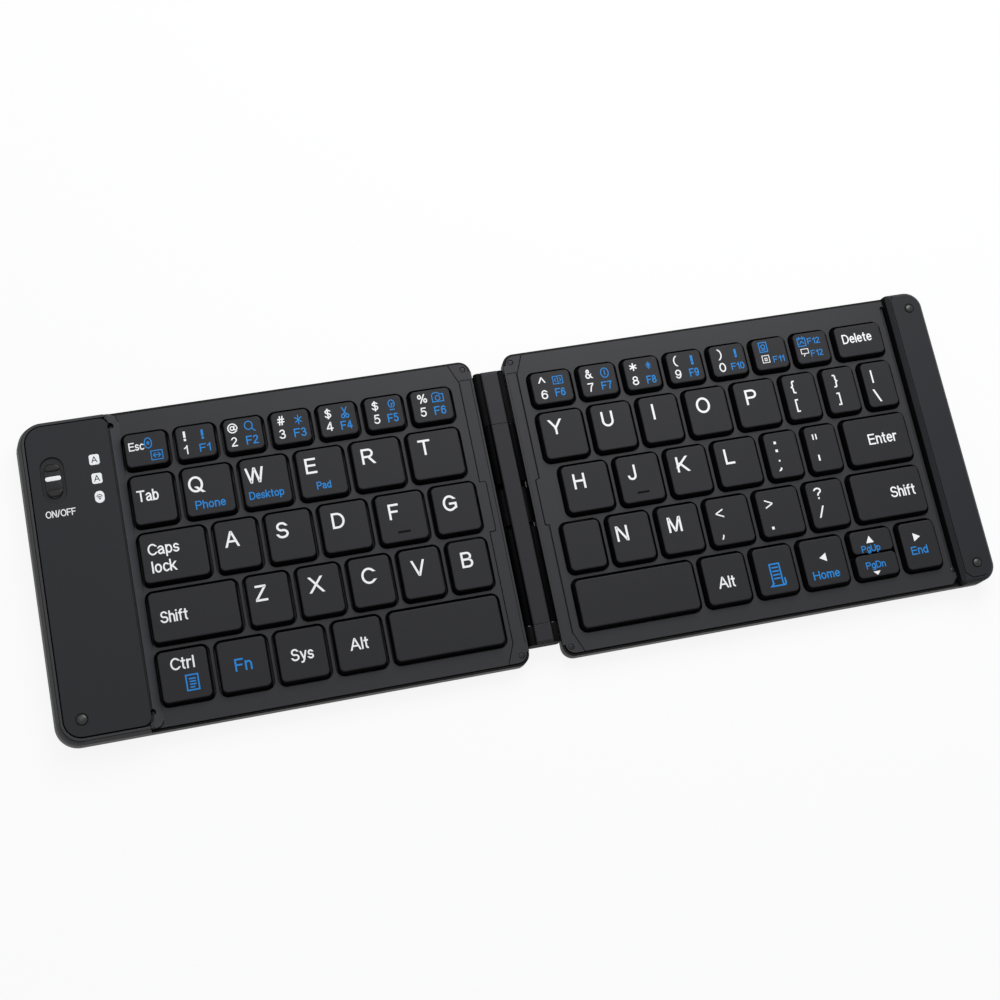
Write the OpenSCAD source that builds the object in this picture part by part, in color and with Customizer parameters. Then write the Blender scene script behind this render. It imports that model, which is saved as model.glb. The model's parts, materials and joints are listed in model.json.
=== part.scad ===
// Folding keyboard: two key decks joined by a spine with two fold axes.
// It lies open and flat on its feet. X runs along its length, Y from front to back, Z up.
// The origin is on the table, midway between the two fold axes. All sizes are in millimetres.

/* [Overall] */
// Length when opened flat, left end to right end
overall_length = 256.8; // [210:0.2:310]
// Depth, front edge to back edge
overall_depth = 86.3; // [70:0.1:104]
// Height of the key deck above the table
deck_height = 5.4; // [5.2:0.1:7]
// Height of the flat tops of the two raised end blocks
pod_height = 7.8; // [7.4:0.1:10]
// Thickness of the rubber feet
foot_height = 0.8; // [0.4:0.1:2]
// Floor thickness of the two cases
floor_thickness = 1; // [0.8:0.1:2]
// Thickness of the case walls
wall = 1.4; // [1:0.1:2]
// Thickness of the key deck
deck_thickness = 1.5; // [1:0.1:2]
// Radius of the corners at the left end
left_corner_radius = 6.2; // [3:0.1:8]
// Radius of the corners at the right end
right_corner_radius = 4.6; // [3:0.1:8]
// Width of the lip of the cases that stands round the deck
lip = 0.75; // [0.5:0.05:1]
// How far the top of the lip lies below the deck surface
lip_drop = 0.5; // [0.3:0.05:1]
// Radius of the corners beside the hinge
hinge_corner_radius = 3.3; // [1:0.1:4]

/* [End blocks] */
// Length of the left end block, to the foot of its slope
left_pod_length = 27.5; // [24:0.1:40]
// Lean of the left end wall
left_end_lean = 2.1; // [0.7:0.1:3]
// Lean of the front and back walls of the left end block
side_lean = 0.65; // [0.3:0.05:1.2]
// Width of the rounded edge round the right end block
right_edge = 0.8; // [0.3:0.05:1.2]
// Width of the slope between the left end block and the deck
slope_width = 2.3; // [1:0.1:4]
// Thickness of the cover plate
cover_thickness = 1; // [0.8:0.1:2]
// Thickness of the rim round the cover plate
rim = 0.85; // [0.4:0.05:1.2]
// Length of the right end block
right_pod_length = 10.6; // [8:0.1:20]
// Width of the groove beside the right end block
groove_width = 1.1; // [0.6:0.1:2]

/* [Keys] */
// Height of the key tops above the table
key_top_height = 7.3; // [6.8:0.1:9]
// Height of a keycap, skirt to top
keycap_height = 3; // [2:0.1:4]
// Gap between the top faces of neighbouring keys
key_gap = 2.75; // [2.2:0.05:4]
// How far the skirt of a keycap stands out past its top face
keycap_flare = 0.45; // [0.2:0.05:0.7]
// Corner radius of the top face of a key
key_corner_radius = 1.3; // [0.5:0.1:2.5]
// Travel of a key
key_travel = 1.2; // [0.8:0.1:1.6]
// Depth of the keys in the number row
number_row_depth = 9; // [7:0.1:14]
// From the front edge to the first row of keys
front_margin = 6.45; // [5:0.05:12]
// From the number row to the back edge
back_margin = 7.45; // [5:0.05:12]

/* [Key widths, scaled to fill each row] */
// Left half, row 1: escape and the numbers 1 to 6
left_row_1 = [10.7, 9.85, 9.85, 9.85, 9.85, 9.85, 10.7]; // [5:0.05:40]
// Left half, row 2: tab, Q, W, E, R, T
left_row_2 = [10.7, 12.5, 12.2, 12.2, 12.7, 13.7]; // [5:0.05:40]
// Left half, row 3: caps lock, A, S, D, F, G
left_row_3 = [16.6, 10.6, 11.5, 12.2, 12.4, 11.5]; // [5:0.05:40]
// Left half, row 4: shift, Z, X, C, V, B
left_row_4 = [22.7, 10.9, 10.9, 10.9, 10.7, 10.3]; // [5:0.05:40]
// Left half, row 5: control, function, system, alt, space
left_row_5 = [12.5, 12.5, 12.5, 12.3, 29.2]; // [5:0.05:40]
// Right half, row 1: seven number and symbol keys, delete
right_row_1 = [11, 10.2, 9.8, 9.9, 10, 9.6, 9.8, 13.6]; // [5:0.05:40]
// Right half, row 2: Y, U, I, O, P, two brackets, backslash
right_row_2 = [11.9, 11.2, 10.8, 11.5, 11.8, 9.4, 9, 8.7]; // [5:0.05:40]
// Right half, row 3: H, J, K, L, semicolon, quote, enter
right_row_3 = [12.7, 11.8, 11, 11.9, 9.3, 8.9, 18.3]; // [5:0.05:40]
// Right half, row 4: plain key, N, M, comma, point, slash, shift
right_row_4 = [10, 11.2, 11.2, 11.8, 12, 10.5, 20.5]; // [5:0.05:40]
// Right half, row 5: space, alt, menu, left arrow, up and down arrows, right arrow
right_row_5 = [32.5, 11.9, 10.8, 12, 11.7, 10.1]; // [5:0.05:40]

/* [Hinge] */
// How far the fold axes lie below the deck surface
axis_drop = 0.4; // [0.2:0.05:1]
// Radius of the hinge knuckles
knuckle_radius = 1.25; // [1.1:0.05:1.6]
// Radius of the steel axles
axle_radius = 0.7; // [0.4:0.05:0.8]
// Radial clearance of an axle in a turning knuckle
axle_clearance = 0.04; // [0.01:0.01:0.1]
// Gap between the halves and the spine
hinge_gap = 0.3; // [0.3:0.05:0.6]
// Height of the rubber bumpers above the end blocks
bumper_height = 0.46; // [0.3:0.02:0.8]
// Distance from the front or back edge to the end of the spine
spine_inset = 4.55; // [3:0.05:8]
// Length of the back end block of the spine
rear_block_length = 15.4; // [8:0.1:20]
// Length of the front end block of the spine
front_block_length = 5.3; // [4:0.1:12]
// Width of the strip beside the hinge, left half
left_strip_width = 3.9; // [3.6:0.1:7]
// Width of the strip beside the hinge, right half
right_strip_width = 3.4; // [3.2:0.1:7]
// Width of the window that the ribbon cable passes through
cable_window = 13; // [10:0.5:20]

/* [Power switch] */
// Length of the recess in the cover
recess_length = 12.7; // [11:0.1:16]
// Width of the recess
recess_width = 6.1; // [5:0.1:8]
// Length of the knob
knob_length = 9.6; // [6:0.1:10]
// Width of the knob
knob_width = 4.4; // [3:0.1:5]
// Travel of the knob
knob_travel = 1.4; // [1:0.1:2]

/* [Hidden] */
half_length = overall_length / 2;
half_depth = overall_depth / 2;
floor_top = foot_height + floor_thickness;
seat = deck_height - deck_thickness;
plate_thickness = 0.4;
membrane_thickness = 0.3;
bed = floor_top + plate_thickness + membrane_thickness;
key_underside = key_top_height - 1;
ledge = pod_height - cover_thickness;
rim_top = pod_height - 0.3;

axis_z = deck_height - axis_drop;
closing_plane = pod_height + bumper_height / 2 + 0.02;
axis_x = closing_plane - axis_z;
edge_x = axis_x + knuckle_radius + hinge_gap;
spine_top = deck_height + 1.5;
spine_half_width = axis_x - axis_drop - hinge_gap;
spine_end = half_depth - spine_inset;
rear_seam = spine_end - rear_block_length;
front_seam = -spine_end + front_block_length;
knuckle_slack = 0.15;
leaf_thickness = 0.7;
leaf_depth = min(left_strip_width, right_strip_width) - 0.3;

left_seam = edge_x + left_strip_width;
right_seam = edge_x + right_strip_width;
flare_depth = 6.25;
flare_width = 2.5;
left_tab = 1.75;
right_tab = 1.1;
tab_front = -5.9;
tab_back = 8.1;

foot_of_slope = -half_length + left_pod_length;
top_of_slope = foot_of_slope - slope_width;
cover_gap = 0.25;
cover_left = -half_length + left_end_lean + rim + cover_gap;
cover_right = top_of_slope - 0.5;
cover_half_depth = half_depth - side_lean - rim - cover_gap;
cover_corner = left_corner_radius - side_lean - rim - cover_gap;
cover_room = cover_half_depth + cover_gap;
right_pod_left = half_length - right_pod_length;
groove_left = right_pod_left - groove_width;
partition = top_of_slope - 1;

lip_top = deck_height - lip_drop;
deck_half_depth = half_depth - lip;

left_field = [foot_of_slope + 0.8, -left_seam - 2.15];
right_field = [right_seam + 3, groove_left - 2.65];
upper_rows_inset = 1.3;
home_row_inset = 2.9;
row_pitch = (overall_depth - front_margin - back_margin - number_row_depth) / 4;
row_depth = row_pitch - key_gap;
opening_margin = 0.9;
skirt_bottom = key_top_height - keycap_height;

recess_x = -half_length + 9.05;
recess_y = half_depth - 16.8;
knob_base = pod_height - 0.5;
lens_x = -half_length + 20.1;
lens_y = [half_depth - 12.85, half_depth - 18.05, half_depth - 23.15];
lens_width = 2.7;
bumper_radius = 1.35;
small_bumper_radius = 1.15;
left_bumper_at = [-half_length + 7.7, -half_depth + 6.15];
right_bumpers_at = [[half_length - 4.9, -half_depth + 5.2], [half_length - 4.1, half_depth - 4.95]];
socket_x = -half_length + 14.4;
socket_z = 4.3;
corner_screw = [edge_x + 2.2, half_depth - 2.55];
pod_screws_at = [[foot_of_slope - 2.3, -half_depth + 4.85], [foot_of_slope - 2, half_depth - 4.05]];
screw_head = 0.75;
screw_shank = 0.45;
curve = 48;
small_curve = 24;

// Key layout, from the row lists.
// A key is [half, row, place]: half 0 is the left one, row 1 is the number row, place counts from the left.
rows = [[left_row_1, left_row_2, left_row_3, left_row_4, left_row_5],
    [right_row_1, right_row_2, right_row_3, right_row_4, right_row_5]];
function total(list, count) = count <= 0 ? 0 : list[count - 1] + total(list, count - 1);
function row_start(half, row) = half == 0 ? left_field[0]
    : right_field[0] + (row == 3 ? home_row_inset : 0);
function row_end(half, row) = half == 0 ? left_field[1] - (row <= 2 ? upper_rows_inset : 0)
    : right_field[1];
function row_list(half, row) = rows[half][row - 1];
function row_scale(half, row) = let (list = row_list(half, row), count = len(list))
    (row_end(half, row) - row_start(half, row) - key_gap * (count - 1)) / total(list, count);
function key_width(k) = row_list(k[0], k[1])[k[2]] * row_scale(k[0], k[1]);
function key_x(k) = row_start(k[0], k[1]) + key_width(k) / 2 + k[2] * key_gap
    + total(row_list(k[0], k[1]), k[2]) * row_scale(k[0], k[1]);
function key_depth(k) = k[1] == 1 ? number_row_depth : row_depth;
function key_y(k) = -half_depth + front_margin + (5 - k[1]) * row_pitch + key_depth(k) / 2;
function keys_of(half) = [for (row = [1:5]) for (i = [0:len(row_list(half, row)) - 1]) [half, row, i]];
// The up and down arrows share one opening: they are the two halves of one place.
arrow_pair = [1, 5, 4];
arrow_split = 0.5;
arrow_depth = (row_depth - arrow_split) / 2;
function is_pair(k) = k == arrow_pair;
function cap_depth(k) = is_pair(k) ? arrow_depth : key_depth(k);

// Shapes used by several pieces.
// Rectangle with a radius at each corner: front left, front right, back right, back left.
module corner_rect(x0, x1, y0, y1, r) {
    polygon([[x0 + r[0], y0], [x1 - r[1], y0], [x1, y0 + r[1]], [x1, y1 - r[2]],
        [x1 - r[2], y1], [x0 + r[3], y1], [x0, y1 - r[3]], [x0, y0 + r[0]]]);
    translate([x0 + r[0], y0 + r[0]]) circle(r = r[0], $fn = curve);
    translate([x1 - r[1], y0 + r[1]]) circle(r = r[1], $fn = curve);
    translate([x1 - r[2], y1 - r[2]]) circle(r = r[2], $fn = curve);
    translate([x0 + r[3], y1 - r[3]]) circle(r = r[3], $fn = curve);
}

module round_rect(w, d, r) {
    corner_rect(-w / 2, w / 2, -d / 2, d / 2, [r, r, r, r]);
}

module slab(z0, z1) {
    translate([0, 0, z0]) linear_extrude(z1 - z0) children();
}

// A profile drawn in X and Z, run along Y from y0 to y1.
module along_y(y0, y1) {
    translate([0, y1, 0]) rotate([90, 0, 0]) linear_extrude(y1 - y0) children();
}

// Outline of each half, and the same outline drawn in all round except at the straight hinge side.
module left_outline(inset = 0) {
    r = left_corner_radius - inset;
    h = hinge_corner_radius - inset;
    corner_rect(-half_length + inset, -edge_x - inset, -half_depth + inset, half_depth - inset, [r, h, h, r]);
    hinge_side(inset, -edge_x - inset - 1);
}

module right_outline(inset = 0) {
    r = right_corner_radius - inset;
    h = hinge_corner_radius - inset;
    corner_rect(edge_x + inset, half_length - inset, -half_depth + inset, half_depth - inset, [h, r, r, h]);
    hinge_side(inset, edge_x);
}

module hinge_side(inset, x) {
    if (inset > 0) translate([x, -half_depth + hinge_corner_radius])
        square([inset + 1, overall_depth - 2 * hinge_corner_radius]);
}

// Block with rounded corners whose sides flare outward from the top to the bottom.
module tapered_block(width, depth, height, r, flare) {
    w = width / 2;
    d = depth / 2;
    along_y(-d + r, d - r) polygon([[-w - flare, 0], [w + flare, 0], [w, height], [-w, height]]);
    rotate(90) along_y(-w + r, w - r) polygon([[-d - flare, 0], [d + flare, 0], [d, height], [-d, height]]);
    for (x = [-1, 1]) for (y = [-1, 1]) translate([x * (w - r), y * (d - r), 0])
        cylinder(h = height, r1 = r + flare, r2 = r, $fn = curve);
}

// The left end block from outside: the end wall leans in, and above the lip the other walls do too.
module left_pod_block() {
    width = 2 * left_pod_length;
    r = left_corner_radius;
    shear = (left_end_lean - side_lean) / (rim_top - foot_height);
    start = -half_length - shear * foot_height;
    multmatrix([[1, 0, shear, start], [0, 1, 0, 0], [0, 0, 1, 0], [0, 0, 0, 1]]) {
        slab(foot_height, lip_top) corner_rect(0, width, -half_depth, half_depth, [r, r, r, r]);
        translate([width / 2, 0, lip_top])
            tapered_block(width - 2 * side_lean, overall_depth - 2 * side_lean, rim_top - lip_top,
                r - side_lean, side_lean);
    }
}

module at_corner_screws(side) {
    for (y = [-1, 1]) translate([side * corner_screw[0], y * corner_screw[1], 0]) children();
}

module at_pod_screws() {
    for (place = pod_screws_at) translate([place[0], place[1], 0]) children();
}

module at_groove_screw() {
    translate([groove_left + groove_width / 2, -half_depth + 4.75, 0]) children();
}

module screw(head_top) {
    translate([0, 0, head_top - 0.5]) cylinder(h = 0.5, r = screw_head, $fn = curve);
    translate([0, 0, floor_top + 0.4])
        cylinder(h = head_top - floor_top - 0.8, r = screw_shank, $fn = curve);
}

// Room for a screw: the shank hole, and the head's seat up to the surface.
module screw_room(head_top) {
    translate([0, 0, head_top - 0.5]) cylinder(h = 5, r = screw_head + 0.03, $fn = curve);
    translate([0, 0, floor_top + 0.4])
        cylinder(h = head_top - floor_top, r = screw_shank + 0.03, $fn = curve);
}

// Hinge side of a half, drawn for the left half; the right half is its mirror image.
// Strip beside the hinge in plan. It widens at both ends, and the deck's tab bites into it.
module strip_plan(seam, tab, tab_y0, tab_y1, shrink) {
    s = shrink;
    difference() {
        polygon([[-edge_x + 1, -half_depth - 1], [-seam - flare_width * 1.18 + s, -half_depth - 1],
            [-seam + s, -half_depth + flare_depth], [-seam + s, half_depth - flare_depth],
            [-seam - flare_width * 1.18 + s, half_depth + 1], [-edge_x + 1, half_depth + 1]]);
        corner_rect(-seam - 5, -seam + tab + s, tab_y0 - s, tab_y1 + s, [0.5, 0.5, 0.5, 0.5]);
    }
}

// The sunk panel on the strip starts "far" from the seam and ends "near" the spine.
module hinge_cover(seam, tab, tab_y0, tab_y1, far, near) {
    difference() {
        intersection() {
            slab(seat, deck_height) strip_plan(seam, tab, tab_y0, tab_y1, 0.1);
            slab(seat - 1, deck_height + 1) children();
        }
        translate([-seam - 10, front_seam - 0.3, seat - 1])
            cube([seam + 10, rear_seam - front_seam + 0.6, leaf_thickness + 1]);
        translate([-seam + far, -half_depth + 5.75, deck_height - 0.2])
            cube([seam - edge_x - far - near, overall_depth - 11.35, 1]);
        at_corner_screws(-1) screw_room(deck_height - 0.1);
    }
}

module hinge_leaf() {
    difference() {
        union() {
            translate([-edge_x - leaf_depth, front_seam - 0.2, seat])
                cube([leaf_depth + hinge_gap + knuckle_radius * 0.55,
                    rear_seam - front_seam + 0.4, leaf_thickness]);
            translate([-axis_x, rear_seam - knuckle_slack, axis_z]) rotate([90, 0, 0])
                cylinder(h = rear_seam - front_seam - 2 * knuckle_slack, r = knuckle_radius, $fn = curve);
        }
        translate([-axis_x, rear_seam + 1, axis_z]) rotate([90, 0, 0])
            cylinder(h = rear_seam - front_seam + 2, r = axle_radius + axle_clearance, $fn = curve);
        translate([-edge_x - 0.001, -cable_window / 2, -1]) cube([edge_x, cable_window, 20]);
        translate([-edge_x - leaf_depth - 1, -cable_window / 2 - 1, -1])
            cube([leaf_depth, cable_window + 2, 20]);
        translate([-edge_x, rear_seam - knuckle_slack, -1]) cube([edge_x, 2, 20]);
        translate([-edge_x, front_seam - 2 + knuckle_slack, -1]) cube([edge_x, 2, 20]);
    }
}

// Left half.
module left_bottom_case() {
    color("#2b2d31") difference() {
        union() {
            difference() {
                union() {
                    slab(foot_height, lip_top) intersection() {
                        left_outline();
                        translate([partition, -half_depth]) square([overall_length, overall_depth]);
                    }
                    intersection() {
                        left_pod_block();
                        translate([-half_length - 1, -half_depth, 0])
                            cube([half_length + 1 + partition, overall_depth, 20]);
                    }
                }
                slab(seat, 20) intersection() {
                    left_outline(lip - 0.05);
                    translate([partition, -half_depth]) square([overall_length, overall_depth]);
                }
                slab(floor_top, 20)
                    corner_rect(foot_of_slope - 0.6, -edge_x - wall, -half_depth + wall, half_depth - wall,
                        [1, 2, 2, 1]);
                slab(floor_top, 20)
                    corner_rect(cover_left + 0.6, partition, -cover_half_depth + 0.6, cover_half_depth - 0.6,
                        [cover_corner, 0.5, 0.5, cover_corner]);
                slab(ledge, 20)
                    corner_rect(cover_left - cover_gap, partition + 1, -cover_room, cover_room,
                        [cover_corner + cover_gap, 0.5, 0.5, cover_corner + cover_gap]);
            }
            slab(foot_height, seat) intersection() {
                union() {
                    at_corner_screws(-1) circle(r = 1.7, $fn = curve);
                    at_pod_screws() circle(r = 1.4, $fn = curve);
                    for (y = [-half_depth + 1, cable_window / 2]) translate([-left_seam - 0.4, y])
                        square([1.1, half_depth - cable_window / 2 - 1]);
                }
                left_outline();
            }
        }
        translate([-edge_x - wall - 1, -cable_window / 2, seat - 1.3]) cube([wall + 2, cable_window, 3]);
        translate([partition - 2, half_depth - 24, floor_top]) cube([6, 10, 1.2]);
        at_corner_screws(-1) screw_room(deck_height - 0.1);
        at_pod_screws() screw_room(deck_height + 0.2);
        translate([socket_x, half_depth + 1, socket_z]) rotate([90, 0, 0])
            linear_extrude(wall + 2) round_rect(9.2, 3.4, 1.65);
    }
}

module left_pod_cover() {
    color("#303237") difference() {
        slab(ledge, pod_height)
            corner_rect(cover_left, cover_right, -cover_half_depth, cover_half_depth,
                [cover_corner, 2.2, 2.2, cover_corner]);
        translate([recess_x, recess_y, knob_base - 0.05]) linear_extrude(5)
            round_rect(recess_width, recess_length, recess_width / 2 - 0.01);
        translate([recess_x, recess_y - 0.3 + knob_travel / 2, 0]) linear_extrude(20)
            round_rect(1.8, 4 + knob_travel + 0.4, 0.85);
        for (i = [0, 1]) translate([lens_x, lens_y[i], 0]) linear_extrude(20)
            round_rect(lens_width + 0.1, lens_width + 0.3, 0.65);
        translate([lens_x, lens_y[2], 0]) linear_extrude(20) round_rect(2.6, 3.4, 1.25);
        translate(left_bumper_at) bumper_pocket(bumper_radius);
    }
}

module left_key_deck() {
    color("#2f3136") difference() {
        intersection() {
            union() {
                along_y(-half_depth, half_depth) polygon([[partition, seat], [-edge_x, seat],
                    [-edge_x, deck_height], [partition, deck_height]]);
                intersection() {
                    along_y(-half_depth, half_depth) polygon([[partition, seat], [foot_of_slope, seat],
                        [foot_of_slope, deck_height], [top_of_slope, rim_top], [partition, rim_top]]);
                    slab(0, 20) corner_rect(partition - 5, foot_of_slope, -deck_half_depth, deck_half_depth,
                        [1, 2.2, 2.2, 1]);
                }
            }
            slab(seat - 1, pod_height) left_outline(lip);
        }
        slab(seat - 1, pod_height) strip_plan(left_seam, left_tab, tab_front, tab_back, 0);
        for (k = keys_of(0)) translate([key_x(k), key_y(k), 0]) slab(0, 20)
            round_rect(key_width(k) + 2 * opening_margin, key_depth(k) + 2 * opening_margin,
                key_corner_radius + opening_margin);
        slab(ledge, 20)
            corner_rect(partition - 5, top_of_slope, -cover_room, cover_room, [1, 2.5, 2.5, 1]);
        translate([-edge_x - 20, tab_front - 1, seat - 1])
            cube([20, tab_back - tab_front + 2, leaf_thickness + 1]);
        at_pod_screws() screw_room(deck_height + 0.2);
    }
}

module left_hinge_cover() {
    color("#34363b") hinge_cover(left_seam, left_tab, tab_front, tab_back, 0.2, 0.6) left_outline(lip);
}

module left_hinge_leaf() {
    color("#1b1c1f") hinge_leaf();
}

module base_plate(x0, x1) {
    slab(floor_top, floor_top + plate_thickness) difference() {
        translate([x0, -half_depth + wall + 1]) square([x1 - x0, overall_depth - 2 * wall - 2]);
        for (row = [1:4]) for (x = [x0 + 12:20:x1 - 8])
            translate([x, -half_depth + front_margin - key_gap / 2 + row * row_pitch])
                circle(r = 0.8, $fn = curve);
    }
}

module left_base_plate() {
    color("#8d9197") base_plate(foot_of_slope + 0.2, -left_seam - 0.9);
}

module membrane(x0, x1) {
    slab(floor_top + plate_thickness, bed)
        translate([x0, -half_depth + wall + 1]) square([x1 - x0, overall_depth - 2 * wall - 2]);
}

module left_membrane() {
    color("#cfd3c4") membrane(foot_of_slope + 0.2, -left_seam - 0.9);
}

// A hollow rubber dome under a key, and the crossed links round it.
module dome(depth) {
    base = min(2.6, depth / 2 - 1.6);
    translate([0, 0, bed]) difference() {
        cylinder(h = key_underside - bed, r1 = base, r2 = base * 0.6, $fn = small_curve);
        translate([0, 0, -0.4])
            cylinder(h = key_underside - bed - 0.4, r1 = base - 0.4, r2 = base * 0.6 - 0.4,
                $fn = small_curve);
    }
}

module key_places(keys) {
    for (k = keys) translate([key_x(k), key_y(k), 0]) {
        if (is_pair(k)) {
            for (s = [-1, 1]) translate([0, s * (arrow_depth + arrow_split) / 2, 0]) {
                $depth = arrow_depth;
                $width = key_width(k);
                children();
            }
        } else {
            $depth = key_depth(k);
            $width = key_width(k);
            children();
        }
    }
}

module link_pair(width, depth) {
    rise = (key_underside - bed) / 2 - 0.24;
    run = min(7, width - 2.4) / 2;
    reach = min(3.6, depth / 2 - 0.75);
    slope = atan2(rise, run);
    arm = 2 * norm([rise, run]) - 0.2;
    translate([0, 0, (bed + key_underside) / 2]) {
        rotate([0, slope, 0]) {
            for (s = [-1, 1]) translate([0, s * (reach - 0.2), 0]) cube([arm, 0.4, 0.4], center = true);
            translate([-arm / 2 + 0.2, 0, 0]) cube([0.4, 2 * reach, 0.4], center = true);
        }
        rotate([0, -slope, 0]) {
            for (s = [-1, 1]) translate([0, s * (reach - 0.6), 0]) cube([arm, 0.4, 0.4], center = true);
            translate([-arm / 2 + 0.2, 0, 0]) cube([0.4, 2 * reach - 0.8, 0.4], center = true);
        }
    }
}

module left_rubber_domes() {
    color("#b9bcc0") key_places(keys_of(0)) dome($depth);
}

module left_scissor_links() {
    color("#e6e6e2") key_places(keys_of(0)) link_pair($width, $depth);
}

module left_screws() {
    color("#5d6065") {
        at_corner_screws(-1) screw(deck_height - 0.1);
        at_pod_screws() screw(deck_height + 0.2);
    }
}

module feet(x0, x1) {
    for (x = [x0, x1]) for (y = [-1, 1])
        translate([x, y * (half_depth - 9), 0]) cylinder(h = foot_height, r = 4, $fn = curve);
}

module left_feet() {
    color("#17181a") feet(-half_length + 10, -edge_x - 12);
}

module bumper(radius) {
    translate([0, 0, pod_height - 0.5]) cylinder(h = 0.5 + bumper_height - 0.2, r = radius, $fn = curve);
    translate([0, 0, pod_height + bumper_height - 0.2])
        cylinder(h = 0.2, r1 = radius, r2 = radius - 0.35, $fn = curve);
}

// The pocket that a bumper is pressed into, with a shallow ring of air round its top.
module bumper_pocket(radius) {
    translate([0, 0, pod_height - 0.5]) cylinder(h = 2, r = radius + 0.02, $fn = curve);
    translate([0, 0, pod_height - 0.2]) cylinder(h = 2, r = radius + 0.25, $fn = curve);
}

module left_bumper() {
    color("#1b1c1e") translate(left_bumper_at) bumper(bumper_radius);
}

module main_circuit_board() {
    color("#1f5a3a") difference() {
        slab(floor_top, floor_top + 0.8)
            corner_rect(cover_left + 1.3, partition - 0.7, -2, cover_half_depth - 0.8, [0.5, 0.5, 0.5, 3.5]);
        for (y = [1, half_depth - 5.5]) translate([cover_left + 3.2, y, -1])
            cylinder(h = 20, r = 0.9, $fn = curve);
    }
}

module switch_housing() {
    color("#9a9da3") translate([recess_x, recess_y, 0]) difference() {
        slab(floor_top + 0.8, ledge - 0.4) round_rect(4.4, 11, 0.3);
        translate([0, knob_travel / 2 - 0.3, ledge - 2.4]) linear_extrude(5)
            round_rect(1.8, 4 + knob_travel + 0.4, 0.85);
    }
}

module power_switch_knob() {
    color("#2a2c30") translate([recess_x, recess_y, 0]) {
        difference() {
            slab(knob_base, pod_height + 0.2) round_rect(knob_width, knob_length, knob_width / 2 - 0.01);
            translate([-5, -knob_length / 2 + 2.4, pod_height - 0.15]) cube([10, knob_length - 4.8, 2]);
        }
        translate([0, -0.3, ledge - 1.4]) linear_extrude(knob_base - ledge + 1.5) round_rect(1.4, 4, 0.65);
    }
}

module battery_cell() {
    color("#8b8f96") translate([(cover_left + partition) / 2, -half_depth + 20.5, 0])
        slab(floor_top, ledge - 0.6) round_rect(17, 35, 1.6);
}

module indicator_lenses() {
    color("#f2f4f6") {
        for (i = [0, 1]) translate([lens_x, lens_y[i], 0]) {
            slab(ledge - 0.5, pod_height) round_rect(lens_width, lens_width + 0.2, 0.6);
            slab(ledge - 0.5, ledge) round_rect(lens_width + 1, lens_width + 1.2, 0.8);
        }
        translate([lens_x, lens_y[2], 0]) {
            slab(ledge - 0.5, pod_height) round_rect(2.5, 3.3, 1.2);
            slab(ledge - 0.5, ledge) round_rect(3.5, 4.3, 1.6);
        }
    }
}

module charging_socket() {
    color("#a9adb3") translate([socket_x, half_depth - 0.5, 0]) {
        translate([0, 0, socket_z]) rotate([90, 0, 0]) difference() {
            linear_extrude(7) round_rect(9, 3.2, 1.55);
            translate([0, 0, -1]) linear_extrude(7) round_rect(8.4, 2.6, 1.25);
        }
        translate([-3.4, -6.6, socket_z - 0.35]) cube([6.8, 6, 0.7]);
        translate([-3.6, -6.8, floor_top + 0.8]) cube([7.2, 4.5, socket_z - 1.5 - floor_top - 0.8]);
    }
}

// Spine.
// Section of the spine between the knuckles: flat top, waisted at the axes, wide foot.
module spine_section() {
    w = edge_x - hinge_gap - 0.1;
    difference() {
        polygon([[-w, foot_height + 0.9], [-w + 0.6, foot_height + 0.3], [w - 0.6, foot_height + 0.3],
            [w, foot_height + 0.9], [w, seat - 0.4], [spine_half_width, axis_z],
            [spine_half_width, spine_top - 0.25], [spine_half_width - 0.25, spine_top],
            [-spine_half_width + 0.25, spine_top], [-spine_half_width, spine_top - 0.25],
            [-spine_half_width, axis_z], [-w, seat - 0.4]]);
        for (s = [-1, 1]) translate([s * axis_x, axis_z])
            circle(r = knuckle_radius + hinge_gap, $fn = curve);
    }
}

module spine_bar() {
    color("#3c3a42") difference() {
        along_y(front_seam, rear_seam) spine_section();
        translate([-10, -cable_window / 2 + 0.8, axis_z - 0.25]) cube([20, cable_window - 1.6, 0.5]);
    }
}

module end_block_section() {
    w = edge_x - hinge_gap - 0.1;
    polygon([[-w, foot_height + 0.9], [-w + 0.6, foot_height + 0.3], [w - 0.6, foot_height + 0.3],
        [w, foot_height + 0.9], [w, seat - 0.4], [axis_x, axis_z], [spine_half_width, axis_z],
        [spine_half_width, spine_top - 0.25], [spine_half_width - 0.25, spine_top],
        [-spine_half_width + 0.25, spine_top], [-spine_half_width, spine_top - 0.25],
        [-spine_half_width, axis_z], [-axis_x, axis_z], [-w, seat - 0.4]]);
    for (s = [-1, 1]) translate([s * axis_x, axis_z]) circle(r = knuckle_radius, $fn = curve);
}

module spine_end_blocks() {
    color("#35343b") difference() {
        union() {
            along_y(rear_seam, spine_end) end_block_section();
            along_y(-spine_end, front_seam) end_block_section();
        }
        for (s = [-1, 1]) {
            translate([s * axis_x, spine_end - 1, axis_z]) rotate([90, 0, 0])
                cylinder(h = rear_block_length, r = axle_radius + 0.01, $fn = curve);
            translate([s * axis_x, front_seam + 1, axis_z]) rotate([90, 0, 0])
                cylinder(h = front_block_length, r = axle_radius + 0.01, $fn = curve);
        }
        for (end = [0, 1]) mirror([0, end, 0]) translate([-10, spine_end, spine_top]) rotate([-40, 0, 0])
            translate([0, -2, -0.45]) cube([20, 4, 2]);
    }
}

module hinge_axles() {
    color("#b9bdc3") for (s = [-1, 1]) {
        translate([s * axis_x, spine_end - 1, axis_z]) rotate([90, 0, 0])
            cylinder(h = rear_block_length + 10, r = axle_radius, $fn = curve);
        translate([s * axis_x, front_seam + 12, axis_z]) rotate([90, 0, 0])
            cylinder(h = front_block_length + 11, r = axle_radius, $fn = curve);
    }
}

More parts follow.
